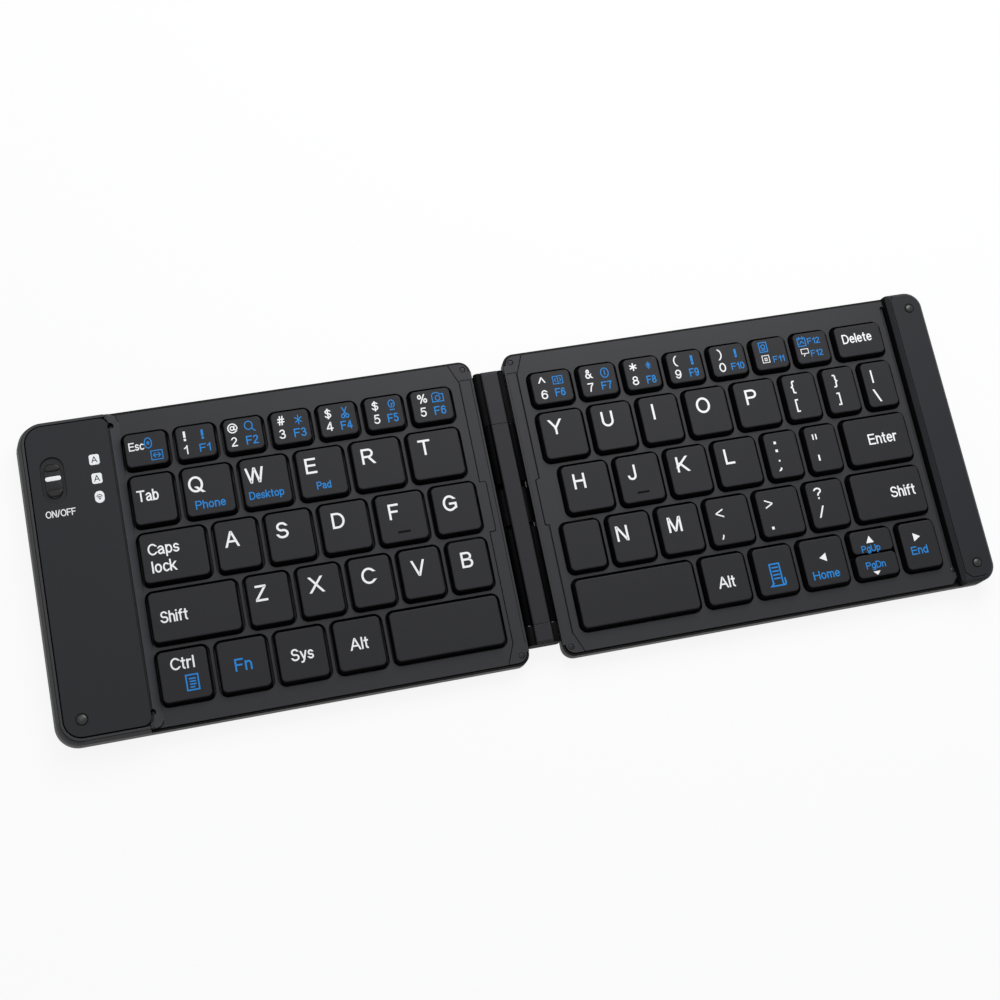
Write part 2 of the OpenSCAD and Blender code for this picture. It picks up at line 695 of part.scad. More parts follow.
module ribbon_cable() {
    t = 0.1;
    a = left_seam + 1.2;
    color("#c98a3a") along_y(-5, 5)
        polygon([[-a, bed + 0.02], [-edge_x - wall, bed + 0.4], [-edge_x, seat - 0.4], [-axis_x, axis_z - t],
            [axis_x, axis_z - t], [edge_x, seat - 0.4], [edge_x + wall, bed + 0.4], [a, bed + 0.02],
            [a, bed + 0.02 + 2 * t], [edge_x + wall, bed + 0.4 + 2 * t], [edge_x, seat - 0.4 + 2 * t],
            [axis_x, axis_z + t], [-axis_x, axis_z + t], [-edge_x, seat - 0.4 + 2 * t],
            [-edge_x - wall, bed + 0.4 + 2 * t], [-a, bed + 0.02 + 2 * t]]);
}

// Right half.
module right_bottom_case() {
    color("#2b2d31") difference() {
        union() {
            difference() {
                slab(foot_height, lip_top) right_outline();
                slab(seat, 20) right_outline(lip - 0.05);
                translate([right_pod_left, -half_depth, seat]) cube([right_pod_length, overall_depth, 20]);
                slab(floor_top, 20)
                    corner_rect(edge_x + wall, half_length - wall - 0.4, -half_depth + wall,
                        half_depth - wall, [2, 3, 3, 2]);
            }
            slab(foot_height, seat) intersection() {
                union() {
                    at_corner_screws(1) circle(r = 1.7, $fn = curve);
                    for (y = [-half_depth + 1, cable_window / 2]) translate([right_seam - 0.7, y])
                        square([1.1, half_depth - cable_window / 2 - 1]);
                    translate([right_pod_left - 0.8, -half_depth + 1]) square([1.6, overall_depth - 2]);
                }
                right_outline();
            }
        }
        translate([edge_x - 1, -cable_window / 2, seat - 1.3]) cube([wall + 2, cable_window, 3]);
        at_corner_screws(1) screw_room(deck_height - 0.1);
        at_groove_screw() screw_room(deck_height - 0.3);
    }
}

// Plan of the flat top of the right end block. Its front left corner is cut off at an angle.
module right_top_plan(inset) {
    r = right_corner_radius - 1.2 - inset;
    x = right_pod_left + 1.75 + inset;
    difference() {
        corner_rect(x, half_length - 1.1 - inset, -half_depth + 1.4 + inset, half_depth - 1.1 - inset,
            [0.1, r, r, 0.8]);
        translate([x, -half_depth + 1.4 + inset]) rotate(45) square([2.4, 2.4], center = true);
    }
}

module right_pod_cover() {
    edge = right_edge;
    color("#303237") difference() {
        intersection() {
            along_y(-half_depth, half_depth) polygon([[right_pod_left + 0.05, seat],
                [right_pod_left + 0.05, deck_height - 0.3], [right_pod_left + 0.45, deck_height + 1.3],
                [right_pod_left + 1.5, pod_height], [half_length + 1, pod_height], [half_length + 1, seat]]);
            union() {
                slab(seat, pod_height - edge) right_outline();
                translate([half_length - edge - right_pod_length, 0, pod_height - edge])
                    tapered_block(2 * right_pod_length, overall_depth - 2 * edge, edge,
                        right_corner_radius - edge, edge);
            }
        }
        slab(pod_height - 0.25, 20) intersection() {
            difference() {
                right_top_plan(-0.2);
                right_top_plan(0);
            }
            union() {
                translate([right_pod_left, -half_depth]) square([2.6, overall_depth]);
                translate([right_pod_left, -half_depth]) square([right_pod_length - 3, 5]);
            }
        }
        translate([right_pod_left, -half_depth, 0]) rotate(45) cube([2.2, 2.2, 40], center = true);
        slab(seat - 1, pod_height - 1.2)
            corner_rect(right_pod_left + 2.2, half_length - 2.6, -half_depth + 3, half_depth - 2,
                [1, 2.5, 2.5, 1]);
        for (place = right_bumpers_at) translate(place) bumper_pocket(small_bumper_radius);
        at_groove_screw() screw_room(deck_height - 0.3);
    }
}

module right_key_deck() {
    color("#2f3136") difference() {
        slab(seat, deck_height) intersection() {
            right_outline(lip);
            translate([0, -half_depth]) square([right_pod_left, overall_depth]);
        }
        mirror([1, 0, 0]) slab(seat - 1, pod_height)
            strip_plan(right_seam, right_tab, tab_front - 0.8, tab_back - 1.7, 0);
        for (k = keys_of(1)) translate([key_x(k), key_y(k), 0]) slab(0, 20)
            round_rect(key_width(k) + 2 * opening_margin, key_depth(k) + 2 * opening_margin,
                key_corner_radius + opening_margin);
        slab(deck_height - 1, 20)
            corner_rect(groove_left, groove_left + groove_width, -half_depth + 4.25, half_depth - 2.5,
                [0.5, 0.5, 0.5, 0.5]);
        translate([right_pod_left, -half_depth, 0]) rotate(45) cube([3.6, 3.6, 40], center = true);
        translate([edge_x, tab_front - 2, seat - 1])
            cube([20 - edge_x, tab_back - tab_front + 2, leaf_thickness + 1]);
        at_groove_screw() screw_room(deck_height - 0.3);
    }
}

module right_hinge_cover() {
    color("#34363b") mirror([1, 0, 0])
        hinge_cover(right_seam, right_tab, tab_front - 0.8, tab_back - 1.7, 0.2, 0.6)
            mirror([1, 0, 0]) right_outline(lip);
}

module right_hinge_leaf() {
    color("#1b1c1f") mirror([1, 0, 0]) hinge_leaf();
}

module right_base_plate() {
    color("#8d9197") base_plate(right_seam + 0.9, right_pod_left - 1.2);
}

module right_membrane() {
    color("#cfd3c4") membrane(right_seam + 0.9, right_pod_left - 1.2);
}

module right_rubber_domes() {
    color("#b9bcc0") key_places(keys_of(1)) dome($depth);
}

module right_scissor_links() {
    color("#e6e6e2") key_places(keys_of(1)) link_pair($width, $depth);
}

module right_screws() {
    color("#5d6065") {
        at_corner_screws(1) screw(deck_height - 0.1);
        at_groove_screw() screw(deck_height - 0.3);
    }
}

module right_feet() {
    color("#17181a") feet(edge_x + 12, half_length - 10);
}

module right_bumpers() {
    color("#1b1c1e") for (place = right_bumpers_at) translate(place) bumper(small_bumper_radius);
}

// Keycaps.
// A keycap with its top face centred on the axis: tapered sides, hollow inside, two clips for the links.
module keycap(width, depth) {
    r = key_corner_radius;
    run = min(7, width - 2.4);
    difference() {
        translate([0, 0, skirt_bottom]) tapered_block(width, depth, keycap_height, r, keycap_flare);
        translate([-width / 2 + 0.6, -depth / 2 + 0.5, skirt_bottom - 1])
            cube([width - 1.2, depth - 1, key_underside - skirt_bottom + 1]);
    }
    for (x = [-1, 1]) translate([x * (run / 2 + 0.35), 0, key_underside])
        cube([0.4, min(5, depth - 1.2), 1.2], center = true);
}

module keycaps(keys) {
    color("#26282c") key_places(keys) keycap($width, $depth);
}

// The raised bar on a key that the fingers find the home row by.
module homing_bar(k) {
    color("#26282c") translate([key_x(k) - 1.7, key_y(k) - key_depth(k) / 2 + 2.3, key_top_height - 0.1])
        cube([3.4, 0.5, 0.3]);
}

module left_number_keys() {
    keycaps([for (i = [0:len(left_row_1) - 1]) [0, 1, i]]);
}

module tab_key() {
    keycaps([[0, 2, 0]]);
}

module left_upper_letter_keys() {
    keycaps([for (i = [1:len(left_row_2) - 1]) [0, 2, i]]);
}

module caps_lock_key() {
    keycaps([[0, 3, 0]]);
}

module left_home_letter_keys() {
    keycaps([for (i = [1:len(left_row_3) - 1]) [0, 3, i]]);
    homing_bar([0, 3, 4]);
}

module left_shift_key() {
    keycaps([[0, 4, 0]]);
}

module left_lower_letter_keys() {
    keycaps([for (i = [1:len(left_row_4) - 1]) [0, 4, i]]);
}

module control_key() {
    keycaps([[0, 5, 0]]);
}

module function_key() {
    keycaps([[0, 5, 1]]);
}

module system_key() {
    keycaps([[0, 5, 2]]);
}

module left_alt_key() {
    keycaps([[0, 5, 3]]);
}

module left_space_key() {
    keycaps([[0, 5, 4]]);
}

module right_number_keys() {
    keycaps([for (i = [0:len(right_row_1) - 2]) [1, 1, i]]);
}

module delete_key() {
    keycaps([[1, 1, len(right_row_1) - 1]]);
}

module right_upper_letter_keys() {
    keycaps([for (i = [0:len(right_row_2) - 1]) [1, 2, i]]);
}

module right_home_letter_keys() {
    keycaps([for (i = [0:len(right_row_3) - 2]) [1, 3, i]]);
    homing_bar([1, 3, 1]);
}

module enter_key() {
    keycaps([[1, 3, len(right_row_3) - 1]]);
}

module right_lower_letter_keys() {
    keycaps([for (i = [0:len(right_row_4) - 2]) [1, 4, i]]);
}

module right_shift_key() {
    keycaps([[1, 4, len(right_row_4) - 1]]);
}

module right_space_key() {
    keycaps([[1, 5, 0]]);
}

module right_alt_key() {
    keycaps([[1, 5, 1]]);
}

module menu_key() {
    keycaps([[1, 5, 2]]);
}

module left_arrow_key() {
    keycaps([[1, 5, 3]]);
}

// One of the two half-depth arrow keys: side 1 is the back one, -1 the front one.
// They stand close together, so the sides that face each other are upright.
module half_key(side) {
    color("#26282c") translate([key_x(arrow_pair), key_y(arrow_pair), 0]) difference() {
        translate([0, side * (arrow_depth + arrow_split) / 2, 0]) keycap(key_width(arrow_pair), arrow_depth);
        translate([0, side * (0.2 - row_depth), key_underside]) cube([40, 2 * row_depth, 40], center = true);
    }
}

module up_arrow_key() {
    half_key(1);
}

module down_arrow_key() {
    half_key(-1);
}

module right_arrow_key() {
    keycaps([[1, 5, 5]]);
}

left_bottom_case();
left_pod_cover();
left_key_deck();
left_hinge_cover();
left_hinge_leaf();
left_base_plate();
left_membrane();
left_rubber_domes();
left_scissor_links();
left_screws();
left_feet();
left_bumper();
switch_housing();
main_circuit_board();
battery_cell();
indicator_lenses();
charging_socket();
power_switch_knob();
spine_bar();
spine_end_blocks();
hinge_axles();
ribbon_cable();
right_bottom_case();
right_pod_cover();
right_key_deck();
right_hinge_cover();
right_hinge_leaf();
right_base_plate();
right_membrane();
right_rubber_domes();
right_scissor_links();
right_screws();
right_feet();
right_bumpers();
left_number_keys();
tab_key();
left_upper_letter_keys();
caps_lock_key();
left_home_letter_keys();
left_shift_key();
left_lower_letter_keys();
control_key();
function_key();
system_key();
left_alt_key();
left_space_key();
right_number_keys();
delete_key();
right_upper_letter_keys();
right_home_letter_keys();
enter_key();
right_lower_letter_keys();
right_shift_key();
right_space_key();
right_alt_key();
menu_key();
left_arrow_key();
up_arrow_key();
down_arrow_key();
right_arrow_key();
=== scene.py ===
"""Visual model of a folding keyboard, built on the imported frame.

The keyboard lies open and flat: X runs along its length, Y from front to back, Z up.
Sizes of the pieces are given in millimetres. Meshes, lamps and the camera are placed in metres.
"""

import json
import logging
import math
from dataclasses import dataclass, field
from enum import Enum
from typing import Callable, Iterable

import bmesh
import bpy
from mathutils import Matrix, Vector
from mathutils.geometry import delaunay_2d_cdt

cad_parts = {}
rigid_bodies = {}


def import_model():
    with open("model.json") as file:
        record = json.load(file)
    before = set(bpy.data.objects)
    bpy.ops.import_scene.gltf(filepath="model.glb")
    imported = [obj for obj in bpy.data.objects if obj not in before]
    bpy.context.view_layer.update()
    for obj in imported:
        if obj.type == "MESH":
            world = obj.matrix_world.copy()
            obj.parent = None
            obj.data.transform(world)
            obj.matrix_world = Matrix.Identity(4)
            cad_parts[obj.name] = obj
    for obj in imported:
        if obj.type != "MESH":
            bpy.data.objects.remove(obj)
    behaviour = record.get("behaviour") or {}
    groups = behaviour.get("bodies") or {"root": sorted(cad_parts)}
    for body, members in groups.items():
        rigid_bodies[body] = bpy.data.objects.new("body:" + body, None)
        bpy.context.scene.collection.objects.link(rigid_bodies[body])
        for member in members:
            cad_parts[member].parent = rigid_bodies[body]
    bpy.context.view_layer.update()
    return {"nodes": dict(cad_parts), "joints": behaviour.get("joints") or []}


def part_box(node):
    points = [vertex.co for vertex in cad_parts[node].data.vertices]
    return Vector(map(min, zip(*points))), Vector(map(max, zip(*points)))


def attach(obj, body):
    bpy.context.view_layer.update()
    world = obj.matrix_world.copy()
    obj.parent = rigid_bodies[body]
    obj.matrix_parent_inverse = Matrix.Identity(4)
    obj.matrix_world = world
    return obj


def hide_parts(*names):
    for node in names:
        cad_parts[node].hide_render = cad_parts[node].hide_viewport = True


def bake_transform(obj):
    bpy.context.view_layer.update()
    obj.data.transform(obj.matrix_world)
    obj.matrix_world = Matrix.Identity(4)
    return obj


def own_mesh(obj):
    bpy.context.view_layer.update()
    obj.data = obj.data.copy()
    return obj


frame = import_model()

MM = 0.001
LOG = logging.getLogger("folding_keyboard")
Point2 = tuple[float, float]
Colour = tuple[float, float, float]
Stroke = tuple[Point2, ...]
Mesh = bmesh.types.BMesh
Vert, Edge, Face = bmesh.types.BMVert, bmesh.types.BMEdge, bmesh.types.BMFace
Node, NodeTree = bpy.types.Node, bpy.types.NodeTree
Socket = bpy.types.NodeSocket
Value = float | tuple | Node | Socket


def linear(colour: Colour) -> tuple[float, float, float, float]:
    """Turns a display colour into the renderer's linear colour.

    Args:
        colour: Red, green and blue as shown on a screen, from 0 to 1.

    Returns:
        The linear colour with full alpha.
    """
    values = [c / 12.92 if c <= 0.04045 else ((c + 0.055) / 1.055) ** 2.4 for c in colour]
    return (values[0], values[1], values[2], 1.0)


# Shader nodes


class Graph:
    """The nodes of one tree. An input takes a plain value, a socket, or a node for its first output."""

    def __init__(self, tree: NodeTree) -> None:
        """Opens a tree.

        Args:
            tree: The node tree.
        """
        self.nodes = tree.nodes
        self._links = tree.links

    def set(self, node: Node, *values: Value, **settings: Value) -> Node:
        """Sets a node up.

        Args:
            node: The node.
            *values: Its first inputs, in order.
            **settings: Its own settings, and inputs by name, with a capital first and _ for a space.

        Returns:
            The same node.
        """
        given = dict(enumerate(values))
        for name, value in settings.items():
            if name[0].islower():
                setattr(node, name, value)
            else:
                given[name.replace("_", " ")] = value
        for name, value in given.items():
            if isinstance(value, Node):
                value = value.outputs[0]
            if isinstance(value, Socket):
                self._links.new(value, node.inputs[name])
            else:
                node.inputs[name].default_value = value
        return node

    def add(self, kind: str, *values: Value, **settings: Value) -> Node:
        """Adds a node and sets it up.

        Args:
            kind: Its type, without the prefix ShaderNode.
            *values: Its first inputs, in order.
            **settings: Its own settings, and inputs by name.

        Returns:
            The node.
        """
        return self.set(self.nodes.new("ShaderNode" + kind), *values, **settings)

    def mix(self, factor: Value, first: Value, second: Value, blend: str = "MIX") -> Socket:
        """Adds a mix of two colours.

        Args:
            factor: Share of the second one.
            first: Linear colour at factor 0.
            second: Linear colour at factor 1.
            blend: How the second one acts on the first.

        Returns:
            The mixed colour.
        """
        node = self.add("Mix", data_type="RGBA", blend_type=blend, Factor=factor, A=first, B=second)
        return node.outputs["Result"]

    def bump(self, height: Value, relief: float, strength: float = 0.6) -> Node:
        """Adds a relief.

        Args:
            height: What gives the height.
            relief: Its depth in millimetres.
            strength: How much of it shows.

        Returns:
            The node that gives the normal.
        """
        return self.add("Bump", Strength=strength, Distance=relief * MM, Height=height)


class Effects:
    """Node groups that several finishes share. Each is built once."""

    @staticmethod
    def _group(
        name: str, inputs: dict[str, float], outputs: tuple[str, ...], wire: Callable
    ) -> NodeTree:
        """Gives a node group, which is built when it is first asked for.

        Args:
            name: Name of the group.
            inputs: Input names with their default values.
            outputs: Output names.
            wire: Takes the graph, the place on the object and the inputs, and returns what the outputs give.

        Returns:
            The group.
        """
        group = bpy.data.node_groups.get(name)
        if group:
            return group
        group = bpy.data.node_groups.new(name, "ShaderNodeTree")
        for label, value in inputs.items():
            socket = group.interface.new_socket(label, in_out="INPUT", socket_type="NodeSocketFloat")
            socket.default_value = value
        for label in outputs:
            group.interface.new_socket(label, in_out="OUTPUT", socket_type="NodeSocketFloat")
        graph = Graph(group)
        given = graph.nodes.new("NodeGroupInput").outputs
        place = graph.add("TexCoord").outputs["Object"]
        graph.set(graph.nodes.new("NodeGroupOutput"), *wire(graph, place, given))
        return group

    @classmethod
    def moulded_grain(cls) -> NodeTree:
        """Fine spark-eroded grain of a moulded surface, with a slow waviness under it."""

        def wire(graph: Graph, place: Value, given: dict) -> tuple:
            pitch = given["Grains per metre"]
            grain = graph.add("TexNoise", Vector=place, Scale=pitch, Detail=2.0, Roughness=0.55)
            cells = graph.add("TexVoronoi", feature="SMOOTH_F1", Vector=place, Scale=pitch)
            wave = graph.add("TexNoise", Vector=place, Scale=55.0, Detail=1.0)
            both = graph.add("Math", cells, 0.45, grain, operation="MULTIPLY_ADD")
            total = graph.add("Math", wave, given["Waviness"], both, operation="MULTIPLY_ADD")
            return total, graph.add("MapRange", Value=grain, From_Min=0.35, From_Max=0.7)

        inputs = {"Grains per metre": 7000.0, "Waviness": 0.25}
        return cls._group("moulded_grain", inputs, ("Height", "Fleck"), wire)

    @classmethod
    def handling(cls) -> NodeTree:
        """Uneven sheen where fingers have been, and a slow change of shade."""

        def wire(graph: Graph, place: Value, given: dict) -> tuple:
            smear = graph.add(
                "TexNoise", Vector=place, Scale=given["Size"], Detail=5.0, Roughness=0.6, Distortion=0.6
            )
            centred = graph.add("Math", smear, 0.5, operation="SUBTRACT")
            rough = graph.add("Math", centred, given["Spread"], given["Roughness"], operation="MULTIPLY_ADD")
            return rough, graph.add("TexNoise", Vector=place, Scale=14.0)

        inputs = {"Roughness": 0.5, "Spread": 0.08, "Size": 42.0}
        return cls._group("handling", inputs, ("Roughness", "Shade"), wire)

    @classmethod
    def brushing(cls) -> NodeTree:
        """Fine scratches of a rolled or brushed metal, drawn out along Y."""

        def wire(graph: Graph, place: Value, given: dict) -> tuple:
            drawn = graph.add("Mapping", Vector=place, Scale=(1.0, 0.02, 1.0))
            lines = graph.add("TexNoise", Vector=drawn, Scale=given["Lines per metre"], Detail=3.0)
            return lines, graph.add("Math", lines, 0.2, given["Roughness"], operation="MULTIPLY_ADD")

        inputs = {"Lines per metre": 9000.0, "Roughness": 0.3}
        return cls._group("brushing", inputs, ("Height", "Roughness"), wire)

    @classmethod
    def printed_tracks(cls) -> NodeTree:
        """Mask of printed conductor tracks that turn at right angles."""

        def wire(graph: Graph, place: Value, given: dict) -> tuple:
            black, white = (0.0, 0.0, 0.0, 1.0), (1.0, 1.0, 1.0, 1.0)
            bricks = graph.add("TexBrick", Vector=place, Color1=black, Color2=black, Mortar=white)
            sizes = {"Mortar_Size": 0.05, "Brick_Width": 3.0, "Row_Height": 0.8}
            return (graph.set(bricks, Scale=given["Pitch per metre"], **sizes),)

        return cls._group("printed_tracks", {"Pitch per metre": 700.0}, ("Track",), wire)


# Finishes


@dataclass(frozen=True)
class Finish:
    """What a surface is made of; some finishes below are painted light or shade."""

    name: str
    slot: str
    colour: Colour

    def material(self) -> bpy.types.Material:
        """Gives the material of this finish, which is built when it is first asked for.

        Returns:
            The material.
        """
        material = bpy.data.materials.get(self.name)
        if not material:
            material = bpy.data.materials.new(self.name)
            material.use_nodes = True
            graph = Graph(material.node_tree)
            self._wire(graph, graph.nodes["Principled BSDF"])
        return material

    def _wire(self, graph: Graph, shader: Node) -> None:
        """Adds the nodes of the material.

        Args:
            graph: Its nodes.
            shader: Its Principled shader.
        """
        raise NotImplementedError


@dataclass(frozen=True)
class MouldedPlastic(Finish):
    """Moulded plastic or rubber: fine grain, uneven sheen and a slightly varied colour."""

    roughness: float = 0.5
    specular: float = 0.4
    grains: float = 7000.0
    relief: float = 0.006
    variation: float = 0.12

    def _wire(self, graph: Graph, shader: Node) -> None:
        """Adds the nodes of the material."""
        uneven = {"Roughness": self.roughness, "Spread": 0.16 * self.roughness}
        sheen = graph.add("Group", node_tree=Effects.handling(), **uneven).outputs
        grain = graph.add("Group", node_tree=Effects.moulded_grain(), Grains_per_metre=self.grains).outputs
        light = tuple(min(1.0, c * (1 + self.variation)) for c in self.colour)
        shade = graph.mix(sheen["Shade"], linear(self.colour), linear(light))
        graph.set(
            shader,
            Base_Color=graph.mix(0.18, shade, grain["Fleck"], "MULTIPLY"),
            Roughness=sheen["Roughness"],
            Specular_IOR_Level=self.specular,
            Normal=graph.bump(grain["Height"], self.relief),
        )


@dataclass(frozen=True)
class SheetMetal(Finish):
    """Rolled, plated or brushed metal."""

    roughness: float = 0.28
    lines: float = 9000.0
    relief: float = 0.004

    def _wire(self, graph: Graph, shader: Node) -> None:
        """Adds the nodes of the material."""
        lines = {"Lines_per_metre": self.lines, "Roughness": self.roughness}
        brush = graph.add("Group", node_tree=Effects.brushing(), **lines).outputs
        sheen = graph.add("Group", node_tree=Effects.handling(), Size=90.0).outputs
        dark = tuple(c * 0.8 for c in self.colour)
        graph.set(
            shader,
            Metallic=1.0,
            Base_Color=graph.mix(sheen["Shade"], linear(self.colour), linear(dark)),
            Roughness=brush["Roughness"],
            Normal=graph.bump(brush["Height"], self.relief),
        )


@dataclass(frozen=True)
class PrintedFilm(Finish):
    """A film or board with conductor tracks printed on it."""

    track: Colour
    pitch: float = 700.0
    roughness: float = 0.35
    specular: float = 0.25

    def _wire(self, graph: Graph, shader: Node) -> None:
        """Adds the nodes of the material."""
        tracks = graph.add("Group", node_tree=Effects.printed_tracks(), Pitch_per_metre=self.pitch)
        sheen = graph.add("Group", node_tree=Effects.handling(), Roughness=self.roughness, Spread=0.06)
        graph.set(
            shader,
            Specular_IOR_Level=self.specular,
            Base_Color=graph.mix(tracks, linear(self.colour), linear(self.track)),
            Roughness=sheen,
            Normal=graph.bump(tracks, 0.02),
        )


# Painted shade: the bottom case is coloured near-black, the way its walls look where they face away from the
# lamps.
PAINTED_SHADE_CASE = MouldedPlastic("painted_shade_case", "case", (0.045, 0.045, 0.05), 0.45, 0.1)
# Painted light: a lighter copy of the case plastic, a painted highlight on the upward faces of the case rim.
PAINTED_LIGHT_RIM = MouldedPlastic("painted_light_rim", "case", (0.175, 0.178, 0.188), 0.4, 0.2)
COVER_PLASTIC = MouldedPlastic("cover_plastic", "cover", (0.138, 0.141, 0.154), 0.44, 0.12)
DECK_PLASTIC = MouldedPlastic("deck_plastic", "deck", (0.160, 0.162, 0.172), 0.42, 0.16)
# Painted light: a lighter copy of the deck plastic on the deck's sloped faces beside the pods, as if lit.
PAINTED_LIGHT_SLOPE = MouldedPlastic("painted_light_slope", "deck", (0.225, 0.228, 0.240), 0.42, 0.16)
# Painted shade: a near-black copy of the deck plastic on steep walls and openings.
PAINTED_SHADE_WALL = MouldedPlastic("painted_shade_wall", "deck", (0.045, 0.045, 0.05), 0.6, 0.04)
KEY_PLASTIC = MouldedPlastic("key_plastic", "keycap", (0.128, 0.129, 0.138), 0.43, 0.13, 6000.0, 0.005)
# Painted shade: a near-black copy of the key plastic on the cap sides.
PAINTED_SHADE_SKIRT = MouldedPlastic("painted_shade_skirt", "keycap", (0.035, 0.035, 0.04), 0.55, 0.05, 6000.0, 0.005)
SPINE_PLASTIC = MouldedPlastic("spine_plastic", "spine_cover", (0.142, 0.141, 0.155), 0.44, 0.12)
BLOCK_PLASTIC = MouldedPlastic("block_plastic", "hinge_block", (0.150, 0.149, 0.162), 0.44, 0.12)
# Painted shade: a near-black copy of the spine plastic on its low and steep faces.
PAINTED_SHADE_SPINE = MouldedPlastic("painted_shade_spine", "hinge_block", (0.03, 0.03, 0.034), 0.6, 0.04)
KNOB_PLASTIC = MouldedPlastic("knob_plastic", "knob", (0.02, 0.02, 0.022), 0.2, 0.2, 9000.0, 0.001)
FOOT_RUBBER = MouldedPlastic("foot_rubber", "foot_rubber", (0.085, 0.086, 0.092), 0.7, 0.3, 4000.0, 0.012)
BUMPER_RUBBER = MouldedPlastic("bumper_rubber", "foot_rubber", (0.05, 0.05, 0.055), 0.26, 0.45, 5000.0, 0.003)
LENS_PLASTIC = MouldedPlastic("lens_plastic", "lens", (0.93, 0.94, 0.95), 0.3, 0.5, 4000.0, 0.002, 0.02)
SILICONE = MouldedPlastic("silicone", "silicone", (0.40, 0.41, 0.43), 0.55, 0.3, 5000.0, 0.004)
LINK_PLASTIC = MouldedPlastic("link_plastic", "link_plastic", (0.80, 0.80, 0.78), 0.4, 0.5, 6000.0, 0.003)
WHITE_INK = MouldedPlastic("white_ink", "keycap", (0.97, 0.97, 0.97), 0.6, 0.1, 9000.0, 0.001, 0.02)
BLUE_INK = MouldedPlastic("blue_ink", "keycap", (0.17, 0.53, 0.83), 0.6, 0.1, 9000.0, 0.001, 0.03)
DARK_INK = MouldedPlastic("dark_ink", "cover", (0.12, 0.12, 0.13), 0.6, 0.2, 9000.0, 0.001)
BLACK_METAL = SheetMetal("blackened_metal", "hinge_metal", (0.03, 0.03, 0.033), 0.5)
PUNCHED_STEEL = SheetMetal("punched_steel", "steel_plate", (0.60, 0.62, 0.64), 0.32)
SCREW_ZINC = SheetMetal("dark_zinc", "screw", (0.20, 0.20, 0.22), 0.34)
SWITCH_STEEL = SheetMetal("switch_steel", "switch_metal", (0.64, 0.65, 0.67), 0.26)
SOCKET_STEEL = SheetMetal("socket_steel", "socket_metal", (0.70, 0.72, 0.74), 0.22)
AXLE_STEEL = SheetMetal("axle_steel", "axle_steel", (0.74, 0.75, 0.77), 0.16)
CELL_FOIL = SheetMetal("cell_foil", "battery_foil", (0.58, 0.60, 0.62), 0.36, 3000.0)
SOLDER_MASK = PrintedFilm("solder_mask", "board", (0.05, 0.27, 0.15), (0.10, 0.38, 0.20), 900.0)
# Partly painted shade: the film's near-black ground stands in for the shade in the key gaps; its tracks are
# printed.
SHADED_CONTACT_FILM = PrintedFilm("contact_film_painted_shade", "membrane", (0.04, 0.04, 0.045), (0.09, 0.09, 0.10), 420.0)
# Painted shade: the cable's near-black colour stands in for the shade in the hinge gap.
SHADED_CABLE_FILM = PrintedFilm(
    "cable_film_painted_shade", "ribbon", (0.015, 0.015, 0.017), (0.035, 0.03, 0.03), 1400.0, 0.6, 0.05
)


# Meshes

# A face whose edges are all longer than this, in millimetres, is a flat wall and not part of a rounding.
FLAT_EDGE = 1.0
# Corners that lie closer than this, in metres, are one.
WELD = 2e-6
# Levels that differ by less than this, in metres, are the same.
SAME_LEVEL = 1e-7
# Faces whose normals have a larger dot product than this can lie in one plane.
LEVEL_TURN = 0.99995


def joined_copy(node: str) -> Mesh:
    """Copies a CAD node's mesh and joins its loose triangles.

    Args:
        node: Name of the CAD node.

    Returns:
        The copy.
    """
    shape = bmesh.new()
    shape.from_mesh(frame["nodes"][node].data)
    bmesh.ops.remove_doubles(shape, verts=shape.verts[:], dist=WELD)
    return shape


def solid_copy(node: str) -> Mesh:
    """Copies a CAD node's mesh with its flat areas as single faces.

    Args:
        node: Name of the CAD node.

    Returns:
        The copy.
    """
    shape = joined_copy(node)
    turn = math.radians(1)
    bmesh.ops.dissolve_limit(shape, angle_limit=turn, verts=shape.verts[:], edges=shape.edges[:])
    return shape


def bevel(
    shape: Mesh, edges: list[Edge], width: float, segments: int, clamp: bool = True
) -> list[Vert]:
    """Rounds some edges.

    Args:
        shape: The mesh to change.
        edges: The edges.
        width: Width of the rounding in millimetres.
        segments: Number of faces across it.
        clamp: Whether roundings that would meet are made narrower.

    Returns:
        The new corners.
    """
    return bmesh.ops.bevel(
        shape,
        geom=edges,
        offset=width * MM,
        offset_type="OFFSET",
        segments=segments,
        profile=0.5,
        affect="EDGES",
        clamp_overlap=clamp,
        material=-1,
    )["verts"]


def soften(shape: Mesh, radius: float, segments: int = 2, angle: float = 35) -> None:
    """Rounds every sharp edge of a mesh.

    Args:
        shape: The mesh to change.
        radius: Width of the rounding in millimetres.
        segments: Number of faces across the rounding.
        angle: Edges sharper than this many degrees are rounded.
    """
    bmesh.ops.dissolve_degenerate(shape, dist=0.02 * MM, edges=shape.edges[:])
    sharp = math.radians(angle)
    edges = [e for e in shape.edges if len(e.link_faces) == 2 and e.calc_face_angle(0) > sharp]
    bevel(shape, edges, radius, segments, clamp=False)


def corners(points: list[Vector]) -> tuple[Vector, Vector]:
    """Gives the lowest and the highest corner of the box round some points."""
    columns = list(zip(*points))
    return Vector([min(column) for column in columns]), Vector([max(column) for column in columns])


def join(shape: Mesh, part: Mesh) -> None:
    """Adds a part to a mesh and frees the part."""
    carrier = bpy.data.meshes.new("part")
    part.to_mesh(carrier)
    part.free()
    shape.from_mesh(carrier)
    bpy.data.meshes.remove(carrier)


def moved(made: list) -> list[Vert]:
    """Picks the corners out of what an extrusion made."""
    return [item for item in made if isinstance(item, Vert)]


def upright(edges: Iterable[Edge]) -> list[Edge]:
    """Picks the edges that rise."""
    return [e for e in edges if abs(e.verts[0].co.z - e.verts[1].co.z) > SAME_LEVEL]


